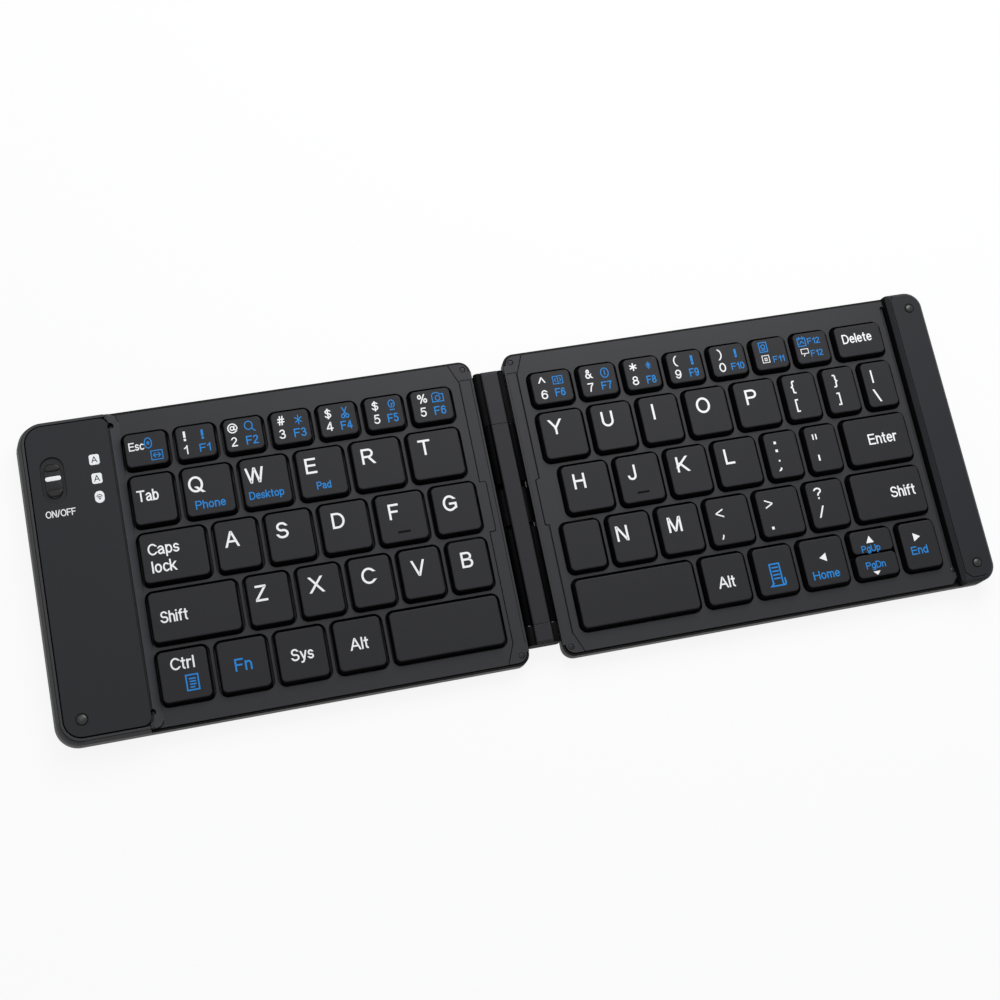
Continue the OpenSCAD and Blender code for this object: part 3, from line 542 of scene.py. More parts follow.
def faces_at(faces: Iterable[Face], level: float) -> list[Face]:
    """Picks the faces that lie at a level, in metres."""
    return [f for f in faces if all(abs(v.co.z - level) < SAME_LEVEL for v in f.verts)]


def flat_areas(shape: Mesh) -> list[list[Face]]:
    """Groups the faces of a mesh that lie in one plane and join up.

    Args:
        shape: The mesh.

    Returns:
        The groups that hold a face of more than four corners.
    """
    left, found = dict.fromkeys(shape.faces), []
    while left:
        seed = left.popitem()[0]
        area, border = [seed], [seed]
        while border:
            near = dict.fromkeys(f for e in border.pop().edges for f in e.link_faces if f in left)
            for face in near:
                rise = (face.verts[0].co - seed.verts[0].co).dot(seed.normal)
                if abs(face.normal.dot(seed.normal)) > LEVEL_TURN and abs(rise) < WELD:
                    del left[face]
                    area.append(face)
                    border.append(face)
        if any(len(face.verts) > 4 for face in area):
            found.append(area)
    return found


def refill(shape: Mesh) -> None:
    """Fills every flat area of a softened mesh afresh, so that no face of it crosses itself.

    Args:
        shape: The mesh to change.
    """
    for area in flat_areas(shape):
        inside = set(area)
        normal = sum((f.normal * f.calc_area() for f in area), Vector()).normalized()
        across = normal.orthogonal().normalized()
        along = normal.cross(across)
        rim = [
            (loop.vert, loop.link_loop_next.vert)
            for face in area
            for loop in face.loops
            if sum(f in inside for f in loop.edge.link_faces) == 1
        ]
        verts = list(dict.fromkeys(v for pair in rim for v in pair))
        index = {vert: i for i, vert in enumerate(verts)}
        flat = [Vector((v.co.dot(across), v.co.dot(along))) / MM for v in verts]
        edges = [(index[a], index[b]) for a, b in rim]
        places, cuts, faces, sources, parents, _ = delaunay_2d_cdt(flat, edges, [], 0, 1e-5)
        turns = {}
        for (a, b), own in zip(cuts, parents):
            run = places[b] - places[a]
            turn = sum(1 if run.dot(flat[edges[i][1]] - flat[edges[i][0]]) > 0 else -1 for i in own)
            turns[a, b], turns[b, a] = turn, -turn
        origin = verts[0].co - (across * flat[0].x + along * flat[0].y) * MM
        points = [
            verts[own[0]] if own else shape.verts.new(origin + (across * place.x + along * place.y) * MM)
            for place, own in zip(places, sources)
        ]
        bmesh.ops.delete(shape, geom=area, context="FACES_KEEP_BOUNDARY")
        for face in covered(faces, turns):
            shape.faces.new([points[i] for i in face])
    loose = [v for v in shape.verts if not v.link_faces]
    bmesh.ops.delete(shape, geom=loose, context="VERTS")


def covered(faces: list[list[int]], turns: dict[tuple[int, int], int]) -> list[list[int]]:
    """Picks the triangles that lie inside a rim.

    Args:
        faces: Triangles that fill the rim and what is round it, counterclockwise.
        turns: How often the rim runs along each directed edge.

    Returns:
        The triangles that the rim goes round.
    """
    owner = {(face[k - 1], face[k]): i for i, face in enumerate(faces) for k in range(3)}
    depth, border = {}, []
    for (a, b), i in owner.items():
        if (b, a) not in owner and i not in depth:
            depth[i] = turns.get((a, b), 0)
            border.append(i)
    while border:
        i = border.pop()
        for k in range(3):
            a, b = faces[i][k - 1], faces[i][k]
            other = owner.get((b, a))
            if other is not None and other not in depth:
                depth[other] = depth[i] - turns.get((a, b), 0)
                border.append(other)
    return [face for i, face in enumerate(faces) if depth.get(i, 0) > 0]


def solids_of(node: str) -> list[list[Vector]]:
    """Splits a CAD node into its separate solids.

    Args:
        node: Name of the CAD node.

    Returns:
        The corner points of each solid, from left to right.
    """
    shape = joined_copy(node)
    left, found = dict.fromkeys(shape.verts), []
    while left:
        group, border = [], [left.popitem()[0]]
        while border:
            vert = border.pop()
            group.append(vert.co.copy())
            for edge in vert.link_edges:
                other = edge.other_vert(vert)
                if other in left:
                    del left[other]
                    border.append(other)
        found.append(group)
    shape.free()
    return sorted(found, key=lambda points: min(p.x for p in points))


def make_piece(
    name: str,
    shape: Mesh,
    finish: Finish,
    body: str | None,
    replaces: tuple[str, ...] = (),
    weighted: bool = False,
    smooth: bool = True,
) -> bpy.types.Object:
    """Turns a mesh into a piece of the keyboard.

    Args:
        name: Name of the piece.
        shape: Its mesh in metres, which is freed.
        finish: Its finish.
        body: CAD body it rides on, or None when it rides on none.
        replaces: CAD nodes it stands for.
        weighted: Whether large faces rule the shading.
        smooth: Whether every face is shaded smooth, or each as the mesh says.

    Returns:
        The new object.
    """
    mesh = bpy.data.meshes.new(name)
    shape.to_mesh(mesh)
    shape.free()
    mesh.materials.append(finish.material())
    flat = [] if smooth else [polygon.index for polygon in mesh.polygons if not polygon.use_smooth]
    mesh.set_sharp_from_angle(angle=math.radians(38))
    for index in flat:
        mesh.polygons[index].use_smooth = False
    piece = bpy.data.objects.new(name, mesh)
    bpy.context.scene.collection.objects.link(piece)
    if weighted:
        modifier = piece.modifiers.new("flat_faces", "WEIGHTED_NORMAL")
        modifier.keep_sharp = True
    if body:
        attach(piece, body)
    if replaces:
        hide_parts(*replaces)
    LOG.info("%s: %d faces", name, len(mesh.polygons))
    return piece


def softened_piece(
    node: str, finish: Finish, body: str, radius: float, segments: int = 2
) -> bpy.types.Object:
    """Replaces a CAD node with a copy whose edges are rounded.

    Args:
        node: Name of the CAD node.
        finish: Finish of the piece.
        body: CAD body it rides on.
        radius: Width of the rounding in millimetres.
        segments: Number of faces across the rounding.

    Returns:
        The new object.
    """
    shape = solid_copy(node)
    soften(shape, radius, segments)
    for face in shape.faces:
        face.smooth = min(edge.calc_length() for edge in face.edges) < FLAT_EDGE * MM
    refill(shape)
    low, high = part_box(node)
    for vert in shape.verts:
        vert.co = Vector(min(max(v, a), b) for v, a, b in zip(vert.co, low, high))
    return make_piece(node + "_moulded", shape, finish, body, (node,), smooth=False)


def paint(piece: bpy.types.Object, finish: Finish, chosen: Callable[[bpy.types.MeshPolygon], bool]) -> None:
    """Gives some faces of a piece a second finish, which paints light or shade onto them.

    Args:
        piece: The piece.
        finish: The second finish, a lit or shaded copy of the piece's colour.
        chosen: Tells whether a face gets it.
    """
    mesh = piece.data
    mesh.materials.append(finish.material())
    place = len(mesh.materials) - 1
    for polygon in mesh.polygons:
        if chosen(polygon):
            polygon.material_index = place


def dress(node: str, finish: Finish) -> None:
    """Gives a CAD node that stays as it is its finish."""
    data = frame["nodes"][node].data
    data.materials.clear()
    data.materials.append(finish.material())


def add_block(shape: Mesh, low: Vector, high: Vector) -> list[Vert]:
    """Adds a block between two corners, in metres.

    Args:
        shape: The mesh to add to.
        low: Lowest corner.
        high: Highest corner.

    Returns:
        The corners of the block.
    """
    size = high - low
    place = Matrix.Translation((low + high) / 2) @ Matrix.Diagonal((*size, 1.0))
    return bmesh.ops.create_cube(shape, size=1.0, matrix=place)["verts"]


def add_turned(shape: Mesh, centre: Vector, profile: list[Point2], steps: int = 32) -> None:
    """Adds a closed turned solid about a vertical axis.

    Args:
        shape: The mesh to add to.
        centre: Point on the axis, in metres.
        profile: Radius and height pairs in millimetres, from bottom to top, both ends on the axis.
        steps: Faces round the axis.
    """
    verts = [shape.verts.new(centre + Vector((r * MM, 0, z * MM))) for r, z in profile]
    edges = [shape.edges.new(pair) for pair in zip(verts, verts[1:])]
    bmesh.ops.spin(
        shape,
        geom=verts + edges,
        cent=centre,
        axis=(0, 0, 1),
        angle=math.tau,
        steps=steps,
        use_merge=True,
    )
    bmesh.ops.remove_doubles(shape, verts=shape.verts[:], dist=1e-7)
    bmesh.ops.recalc_face_normals(shape, faces=shape.faces[:])


def add_rounded_plate(
    shape: Mesh,
    centre: Point2,
    size: Point2,
    z: Point2,
    corner: float,
    rim: float,
    steps: int = 6,
) -> None:
    """Adds a plate with rounded corners and a softened top rim. Sizes are in millimetres.

    Args:
        shape: The mesh to add to.
        centre: Centre in plan.
        size: Width and depth.
        z: Lowest and highest level.
        corner: Corner radius in plan.
        rim: Width of the rounding at the top rim.
        steps: Faces in each corner.
    """
    low = Vector((centre[0] - size[0] / 2, centre[1] - size[1] / 2, z[0])) * MM
    high = Vector((centre[0] + size[0] / 2, centre[1] + size[1] / 2, z[1])) * MM
    sides = upright(dict.fromkeys(e for v in add_block(shape, low, high) for e in v.link_edges))
    around = dict.fromkeys(f for v in bevel(shape, sides, corner, steps) for f in v.link_faces)
    bevel(shape, [e for f in faces_at(around, high.z) for e in f.edges], rim, 3)


# Printed marks


class Ink(Enum):
    """Inks of the printed marks."""

    WHITE = WHITE_INK
    BLUE = BLUE_INK
    DARK = DARK_INK


def arc(centre: Point2, radius: Point2, start: float = 0.0, turn: float = 360.0, steps: int = 0) -> Stroke:
    """Gives points on an arc, with angles in degrees and a point every 15 degrees unless steps are given."""
    steps = steps or max(3, round(abs(turn) / 15))
    angles = [math.radians(start + turn * i / steps) for i in range(steps + 1)]
    return tuple((centre[0] + radius[0] * math.cos(a), centre[1] + radius[1] * math.sin(a)) for a in angles)


STEM = ((0, 0), (0, 100))
SHORT_STEM = ((0, 0), (0, 74))
BOWL = arc((26, 36), (26, 36))
# Each sign as centre lines, in hundredths of the height of a capital. Small letters reach up to 72.
GLYPHS: dict[str, tuple[Stroke, ...]] = {
    "A": (((0, 0), (42, 100), (48, 100), (90, 0)), ((15, 33), (75, 33))),
    "B": (
        (
            (0, 0),
            (0, 100),
            (37, 100),
            *arc((37, 76.5), (24, 23.5), 90, -160),
            *arc((40, 26.5), (27, 26.5), 70, -160),
            (0, 0),
        ),
        ((0, 53), (40, 53)),
    ),
    "C": (arc((42, 50), (42, 50), 44, 272),),
    "D": (((0, 0), (0, 100), (30, 100), *arc((30, 50), (44, 50), 90, -180), (0, 0)),),
    "E": (((66, 100), (0, 100), (0, 0), (68, 0)), ((0, 53), (62, 53))),
    "F": (((62, 100), (0, 100), (0, 0)), ((0, 50), (52, 50))),
    "G": ((*arc((42, 50), (42, 50), 44, 262), (84, 17), (84, 46), (44, 46)),),
    "H": (STEM, ((74, 0), (74, 100)), ((0, 53), (74, 53))),
    "I": (STEM,),
    "J": (((46, 100), (46, 26), *arc((23, 26), (23, 26), 0, -172)),),
    "K": (STEM, ((70, 100), (2, 34)), ((22, 56), (74, 0))),
    "L": (((0, 100), (0, 0), (56, 0)),),
    "M": (((0, 0), (0, 100), (7, 100), (40, 5), (46, 5), (79, 100), (86, 100), (86, 0)),),
    "N": (((0, 0), (0, 100), (6, 100), (68, 0), (74, 0), (74, 100)),),
    "O": (arc((46, 50), (46, 50)),),
    "P": (STEM, ((0, 100), (40, 100), *arc((40, 73), (27, 27), 90, -180), (0, 46))),
    "Q": (arc((46, 50), (46, 50)), ((54, 26), (90, -4))),
    "R": (
        STEM,
        ((0, 100), (44, 100), *arc((44, 73.5), (26.5, 26.5), 90, -180), (0, 47)),
        ((40, 47), (76, 0)),
    ),
    "S": ((*arc((34, 74.5), (30, 25.5), 30, 235), *arc((34, 25.5), (34, 25.5), 80, -240)),),
    "T": (((0, 100), (76, 100)), ((38, 100), (38, 0))),
    "U": (((0, 100), (0, 36), *arc((36, 36), (36, 36), 180, 180), (72, 100)),),
    "V": (((0, 100), (39, 0), (45, 0), (84, 100)),),
    "W": (((0, 100), (27, 0), (32, 0), (59, 100), (65, 100), (92, 0), (97, 0), (124, 100)),),
    "X": (((2, 100), (78, 0)), ((75, 100), (0, 0))),
    "Y": (((0, 100), (40, 43), (40, 0)), ((80, 100), (40, 43))),
    "Z": (((5, 100), (68, 100), (68, 95), (0, 5), (0, 0), (72, 0)),),
    "a": (
        (*arc((26, 48), (24, 24), 148, -148), (50, 12), (55, 0)),
        ((50, 44), (20, 38), (5, 28), (3, 13), (13, 1), (28, 0), (42, 7), (50, 18)),
    ),
    "b": (STEM, BOWL),
    "c": (arc((26, 36), (26, 36), 52, 256),),
    "d": (((52, 0), (52, 100)), BOWL),
    "e": (((2, 38), (50, 38)), arc((26, 36), (26, 36), 4, 304)),
    "f": (((14, 0), (14, 80), *arc((32, 80), (18, 20), 180, -90)), ((0, 70), (32, 70))),
    "g": (BOWL, ((52, 72), (52, -6), *arc((27, -6), (25, 22), 0, -140))),
    "h": (STEM, ((0, 44), *arc((24, 45), (24, 27), 165, -165), (48, 0))),
    "i": (((0, 0), (0, 72)), ((0, 98), (0, 100))),
    "k": (STEM, ((45, 72), (2, 25)), ((16, 42), (48, 0))),
    "l": (STEM,),
    "m": (
        SHORT_STEM,
        ((0, 46), *arc((20, 48), (20, 24), 165, -165), (40, 0)),
        ((40, 46), *arc((60, 48), (20, 24), 165, -165), (80, 0)),
    ),
    "n": (SHORT_STEM, ((0, 44), *arc((24, 45), (24, 27), 165, -165), (48, 0))),
    "o": (arc((27, 36), (27, 36)),),
    "p": (((0, -30), (0, 74)), BOWL),
    "r": (SHORT_STEM, ((0, 40), *arc((25, 42), (25, 30), 165, -90))),
    "s": ((*arc((24, 53), (20, 19), 33, 230), *arc((23, 18), (23, 18), 75, -225)),),
    "t": (((14, 95), (14, 14), *arc((27, 14), (13, 14), 180, 85)), ((0, 70), (30, 70))),
    "y": (((0, 72), (26, 2)), ((52, 72), (25, -10), (16, -24), (2, -26))),
    "0": (arc((27, 50), (27, 50)),),
    "1": (((0, 72), (14, 81), (25, 94)), ((28, 0), (28, 104))),
    "2": ((*arc((27, 74), (25, 26), 158, -195), (0, 6), (0, 0), (54, 0)),),
    "3": (arc((25, 75), (22, 25), 148, -238), arc((25, 27), (27, 27), 90, -242)),
    "4": (((42, 0), (42, 100), (38, 100), (0, 30), (0, 25), (36, 25)), ((36, 25), (57, 25))),
    "5": (((50, 100), (11, 100), (4, 51), *arc((26, 32), (27, 32), 142, -290)),),
    "6": (arc((27, 31), (26, 31)), arc((29, 50), (28, 50), 44, 150)),
    "7": (((0, 100), (53, 100), (53, 94), (30, 55), (18, 0)),),
    "8": (arc((27, 76), (22, 24)), arc((27, 26), (27, 26))),
    "9": (arc((26, 69), (26, 31)), arc((24, 50), (28, 50), -136, 150)),
    "!": (((0, 44), (0, 100)), ((0, 0), (0, 2))),
    "@": (
        arc((50, 42), (50, 60), -48, -304),
        arc((46, 42), (20, 25)),
        ((70, 68), (66, 26), (76, 16), (90, 20), (99, 34)),
    ),
    "#": (((14, 0), (26, 100)), ((44, 0), (56, 100)), ((2, 67), (70, 67)), ((0, 33), (68, 33))),
    "$": (
        (*arc((31, 74.5), (27, 20), 30, 235), *arc((31, 28), (31, 25), 80, -240)),
        ((31, -10), (31, 108)),
    ),
    "%": (arc((19, 77), (17, 23)), arc((85, 23), (17, 23)), ((27, -2), (77, 102))),
    "^": (((0, 50), (24, 100), (28, 100), (52, 50)),),
    "&": (
        ((76, 0), (22, 60), (16, 80), (25, 96), (39, 97), (47, 84), (40, 66), (36, 62)),
        ((38, 64), (10, 42), (2, 22), (11, 4), (30, -2), (50, 10)),
        ((48, 8), (58, 22), (66, 42)),
    ),
    "*": (((20, 56), (20, 100)), ((0, 68), (40, 88)), ((0, 88), (40, 68))),
    "(": (arc((42, 37), (42, 72), 122, 116),),
    ")": (arc((-18, 37), (42, 72), 58, -116),),
    "{": (
        ((30, 100), (20, 100), (13, 92), (13, 50), (0, 37), (13, 24), (13, -18), (20, -26), (30, -26)),
    ),
    "}": (
        ((0, 100), (10, 100), (17, 92), (17, 50), (30, 37), (17, 24), (17, -18), (10, -26), (0, -26)),
    ),
    "[": (((22, 100), (0, 100), (0, -26), (22, -26)),),
    "]": (((0, 100), (22, 100), (22, -26), (0, -26)),),
    "|": (((0, -26), (0, 100)),),
    "\\": (((0, 100), (34, 0)),),
    "/": (((0, 0), (34, 100)),),
    ":": (((0, 0), (0, 2)), ((0, 70), (0, 72))),
    ";": (((4, 70), (4, 72)), ((4, 2), (4, -3), (0, -14))),
    '"': (((0, 62), (0, 100)), ((24, 62), (24, 100))),
    "'": (((0, 62), (0, 100)),),
    "<": (((56, 86), (0, 53), (0, 47), (56, 14)),),
    ">": (((0, 86), (56, 53), (56, 47), (0, 14)),),
    ",": (((4, 2), (4, -3), (0, -14)),),
    ".": (((0, 0), (0, 2)),),
    "?": (
        (*arc((25, 76), (24, 24), 155, -195), (28, 48), (25, 34)),
        ((25, 0), (25, 2)),
    ),
}
GLYPH_GAP = 27


def outline(left: float, low: float, right: float, high: float) -> Stroke:
    """Gives a closed rectangle."""
    return ((left, low), (right, low), (right, high), (left, high), (left, low))


def rule(left: float, right: float, level: float) -> Stroke:
    """Gives a level line."""
    return ((left, level), (right, level))


class Icon(Enum):
    """Small printed signs, as strokes in a square of 100."""

    MAGNIFIER = (arc((42, 58), (38, 38)), ((70, 30), (97, 3)))
    EYE = (arc((50, 50), (46, 46)), arc((50, 50), (12, 12)))
    SWAP = (
        outline(2, 3, 98, 97),
        rule(22, 78, 50),
        ((36, 72), (20, 50), (36, 28)),
        ((64, 72), (80, 50), (64, 28)),
    )
    STAR = (((50, 0), (50, 100)), ((5, 25), (95, 75)), ((5, 75), (95, 25)))
    SCISSORS = (
        arc((22, 20), (20, 18)),
        arc((78, 20), (20, 18)),
        ((32, 36), (80, 100)),
        ((68, 36), (20, 100)),
    )
    CLIP = (
        arc((50, 60), (42, 38), -60, 300),
        ((50, 28), (50, 62), (72, 62)),
        rule(20, 80, 2),
    )
    CAMERA = (
        ((2, 5), (98, 5), (98, 80), (66, 80), (58, 98), (20, 98), (2, 80), (2, 5)),
        arc((50, 42), (20, 25)),
    )
    PANES = (
        outline(2, 5, 98, 95),
        ((50, 5), (50, 95)),
        ((30, 30), (18, 50), (30, 70)),
        ((70, 30), (82, 50), (70, 70)),
    )
    RING_BAR = (arc((50, 50), (46, 46)), ((50, 30), (50, 72)))
    SPARK = (
        ((50, 0), (50, 100)),
        rule(0, 100, 55),
        ((20, 20), (80, 85)),
        ((80, 20), (20, 85)),
    )
    PAGE = (outline(5, 2, 95, 98), arc((50, 55), (22, 20)), rule(30, 70, 22))
    CALENDAR = (
        outline(2, 2, 98, 86),
        ((28, 75), (28, 100)),
        ((72, 75), (72, 100)),
        ((25, 25), (50, 55), (75, 30)),
    )
    BOX = (outline(4, 4, 96, 96), outline(36, 30, 64, 62))
    SPEECH = (outline(4, 36, 96, 96), ((50, 36), (30, 4)))
    DOCUMENT = (
        outline(4, 2, 96, 98),
        rule(30, 72, 74),
        rule(34, 72, 56),
        rule(34, 72, 38),
        rule(34, 60, 20),
    )
    SCROLL = (
        ((16, 12), (16, 98), (80, 98), (80, 20)),
        arc((90, 14), (10, 12), 180, 180, 6),
        ((98, 14), (98, 30)),
        rule(2, 90, 2),
        ((16, 12), (2, 2)),
        *(rule(32, 66, level) for level in (82, 66, 50, 34)),
    )
    RADIO = (
        arc((50, 22), (10, 8)),
        arc((50, 22), (30, 30), 35, 110, 8),
        arc((50, 22), (50, 55), 35, 110, 8),
    )


class Arrow(Enum):
    """Solid arrow heads, by the direction they point in, in degrees."""

    RIGHT = 0.0
    UP = 90.0
    LEFT = 180.0
    DOWN = 270.0


@dataclass(frozen=True)
class Mark:
    """One printed mark: what it shows, and its box from the back left corner of the face, in millimetres."""

    shows: "str | Icon | Arrow"
    left: float
    top: float
    width: float
    height: float
    ink: Ink = Ink.WHITE


@dataclass
class Printer:
    """Makes printed marks as thin raised ribbons that follow centre lines."""

    thickness: float = 0.02
    step: float = 0.0012
    steps: int = 5
    weight: float = 15.5
    icon_weight: float = 0.085
    thinnest: float = 0.2
    thickest: float = 0.4
    mitre: float = 0.45
    steep: float = 0.55
    level: float = 0.9
    drawn: int = 0

    @staticmethod
    def lettering(text: str) -> tuple[Stroke, ...]:
        """Sets the glyphs of a text side by side.

        Args:
            text: What it says.

        Returns:
            The centre lines of all its strokes.
        """
        strokes, start = [], 0.0
        for sign in text:
            lines = GLYPHS[sign]
            low = min(x for line in lines for x, _ in line)
            strokes += [tuple((x - low + start, y) for x, y in line) for line in lines]
            start += max(x for line in lines for x, _ in line) - low + GLYPH_GAP
        return tuple(strokes)

    def add_strokes(
        self, shape: Mesh, strokes: tuple[Stroke, ...], low: Vector, high: Vector, line: float
    ) -> None:
        """Adds strokes that fill a box, in metres.

        Args:
            shape: The mesh to add to.
            strokes: Centre lines.
            low: Lowest corner of the box.
            high: Highest corner of the box.
            line: Width of a stroke.
        """
        xs = [x for stroke in strokes for x, _ in stroke]
        ys = [y for stroke in strokes for _, y in stroke]
        wide, tall = max(xs) - min(xs), max(ys) - min(ys)
        scale_x = (high.x - low.x - line) / wide if wide else 0.0
        scale_y = (high.y - low.y - line) / tall if tall else 0.0
        for stroke in strokes:
            start = Vector((low.x + line / 2, low.y + line / 2))
            points = [start + Vector(((x - min(xs)) * scale_x, (y - min(ys)) * scale_y)) for x, y in stroke]
            self.drawn += 1
            lift = (self.drawn % self.steps) * self.step * MM
            self._add_ribbon(shape, points, line / 2, low.z, high.z + lift)

    def _add_ribbon(self, shape: Mesh, points: list[Vector], half: float, bottom: float, top: float) -> None:
        """Adds one closed ribbon along a centre line, with mitred corners and level ends.

        Args:
            shape: The mesh to add to.
            points: The centre line in plan, in metres.
            half: Half of its width.
            bottom: Lowest level.
            top: Highest level.
        """
        points = [p for i, p in enumerate(points) if i == 0 or (p - points[i - 1]).length > 1e-6]
        closed = len(points) > 3 and (points[0] - points[-1]).length < 1e-6
        if closed:
            points.pop()
        rings = []
        for i, point in enumerate(points):
            runs = []
            if closed or i > 0:
                runs.append((point - points[i - 1]).normalized())
            if closed or i < len(points) - 1:
                runs.append((points[(i + 1) % len(points)] - point).normalized())
            normals = [Vector((-run.y, run.x)) for run in runs]
            if len(runs) == 2:
                middle = (normals[0] + normals[1]).normalized()
                side, centre = middle * (half / max(middle.dot(normals[0]), self.mitre)), point
            else:
                run, out = runs[0], -1 if i == 0 else 1
                if abs(run.y) > self.steep:
                    side = Vector((-math.copysign(half / abs(run.y), run.y), 0))
                    centre = point + run * out * half / abs(run.y)
                elif abs(run.x) > self.level:
                    side = Vector((0, math.copysign(half / abs(run.x), run.x)))
                    centre = point + run * out * half / abs(run.x)
                else:
                    side, centre = normals[0] * half, point + run * out * half
            left, right = centre + side, centre - side
            section = ((*left, bottom), (*left, top), (*right, top), (*right, bottom))
            rings.append([shape.verts.new(place) for place in section])
        faces = []
        for a, b in zip(rings, rings[1:] + rings[:1] if closed else rings[1:]):
            faces += [shape.faces.new((a[k - 1], b[k - 1], b[k], a[k])) for k in (1, 2, 3, 0)]
        if not closed:
            faces += [shape.faces.new(rings[0]), shape.faces.new(rings[-1][::-1])]
        bmesh.ops.recalc_face_normals(shape, faces=faces)

    def add_arrow(self, shape: Mesh, arrow: Arrow, low: Vector, high: Vector) -> None:
        """Adds a solid arrow head that fills a box, in metres.

        Args:
            shape: The mesh to add to.
            arrow: The direction it points in.
            low: Lowest corner of the box.
            high: Highest corner of the box.
        """
        part = bmesh.new()
        place = Matrix.Rotation(math.radians(arrow.value - 90), 4, "Z")
        bmesh.ops.create_cone(
            part, cap_ends=True, segments=3, radius1=1.0, radius2=1.0, depth=1.0, matrix=place
        )
        first, last = corners([v.co for v in part.verts])
        for vert in part.verts:
            share = [(v - a) / (b - a) for v, a, b in zip(vert.co, first, last)]
            vert.co = [a + s * (b - a) for s, a, b in zip(share, low, high)]
        join(shape, part)

    def add_mark(self, shape: Mesh, mark: Mark, corner: Vector) -> None:
        """Adds one mark on a surface.

        Args:
            shape: The mesh to add to.
            mark: The mark.
            corner: Back left corner of the face it is printed on, in metres.
        """
        low = corner + Vector((mark.left, -mark.top - mark.height, -self.thickness / 2)) * MM
        high = corner + Vector((mark.left + mark.width, -mark.top, self.thickness / 2)) * MM
        if isinstance(mark.shows, Icon):
            line = min(max(self.icon_weight * mark.height, self.thinnest), self.thickest)
            self.add_strokes(shape, mark.shows.value, low, high, line * MM)
        elif isinstance(mark.shows, Arrow):
            self.add_arrow(shape, mark.shows, low, high)
        else:
            strokes = self.lettering(mark.shows)
            self.add_strokes(shape, strokes, low, high, self._line(strokes, mark) * MM)

    def _line(self, strokes: tuple[Stroke, ...], mark: Mark) -> float:
        """Gives the stroke width of a lettered mark, in millimetres.

        Args:
            strokes: Its centre lines.
            mark: The mark.

        Returns:
            A share of the height of its capitals, or the box's width for a single upright.
        """
        ys = [y for stroke in strokes for _, y in stroke]
        if len({x for stroke in strokes for x, _ in stroke}) == 1:
            return mark.width
        scale = mark.height / (max(ys) - min(ys) + self.weight)
        return min(self.weight * scale, 0.14 * max(mark.height, 2.6))

    def print_marks(self, name: str, body: str, marks: list[tuple[Vector, Mark]]) -> None:
        """Makes one piece for each ink of a group of marks.

        Args:
            name: Name of what they are printed on.
            body: CAD body that carries them.
            marks: Each mark with the corner it is measured from.
        """
        for ink in Ink:
            chosen = [(corner, mark) for corner, mark in marks if mark.ink is ink]
            if not chosen:
                continue
            shape = bmesh.new()
            for corner, mark in chosen:
                self.add_mark(shape, mark, corner)
            make_piece(f"{name}_{ink.name.lower()}_print", shape, ink.value, body)


def letter(text: str, left: float, top: float, width: float, height: float = 4.3) -> tuple[Mark, ...]:
    """Gives the single white letter of a letter key."""
    return (Mark(text, left, top, width, height),)


def white(*rows: tuple) -> tuple[Mark, ...]:
    """Gives white marks, each from what it shows, left, top, width and height."""
    return tuple(Mark(*row) for row in rows)


def blue(*rows: tuple) -> tuple[Mark, ...]:
    """Gives blue marks, each from what it shows, left, top, width and height."""
    return tuple(Mark(*row, Ink.BLUE) for row in rows)


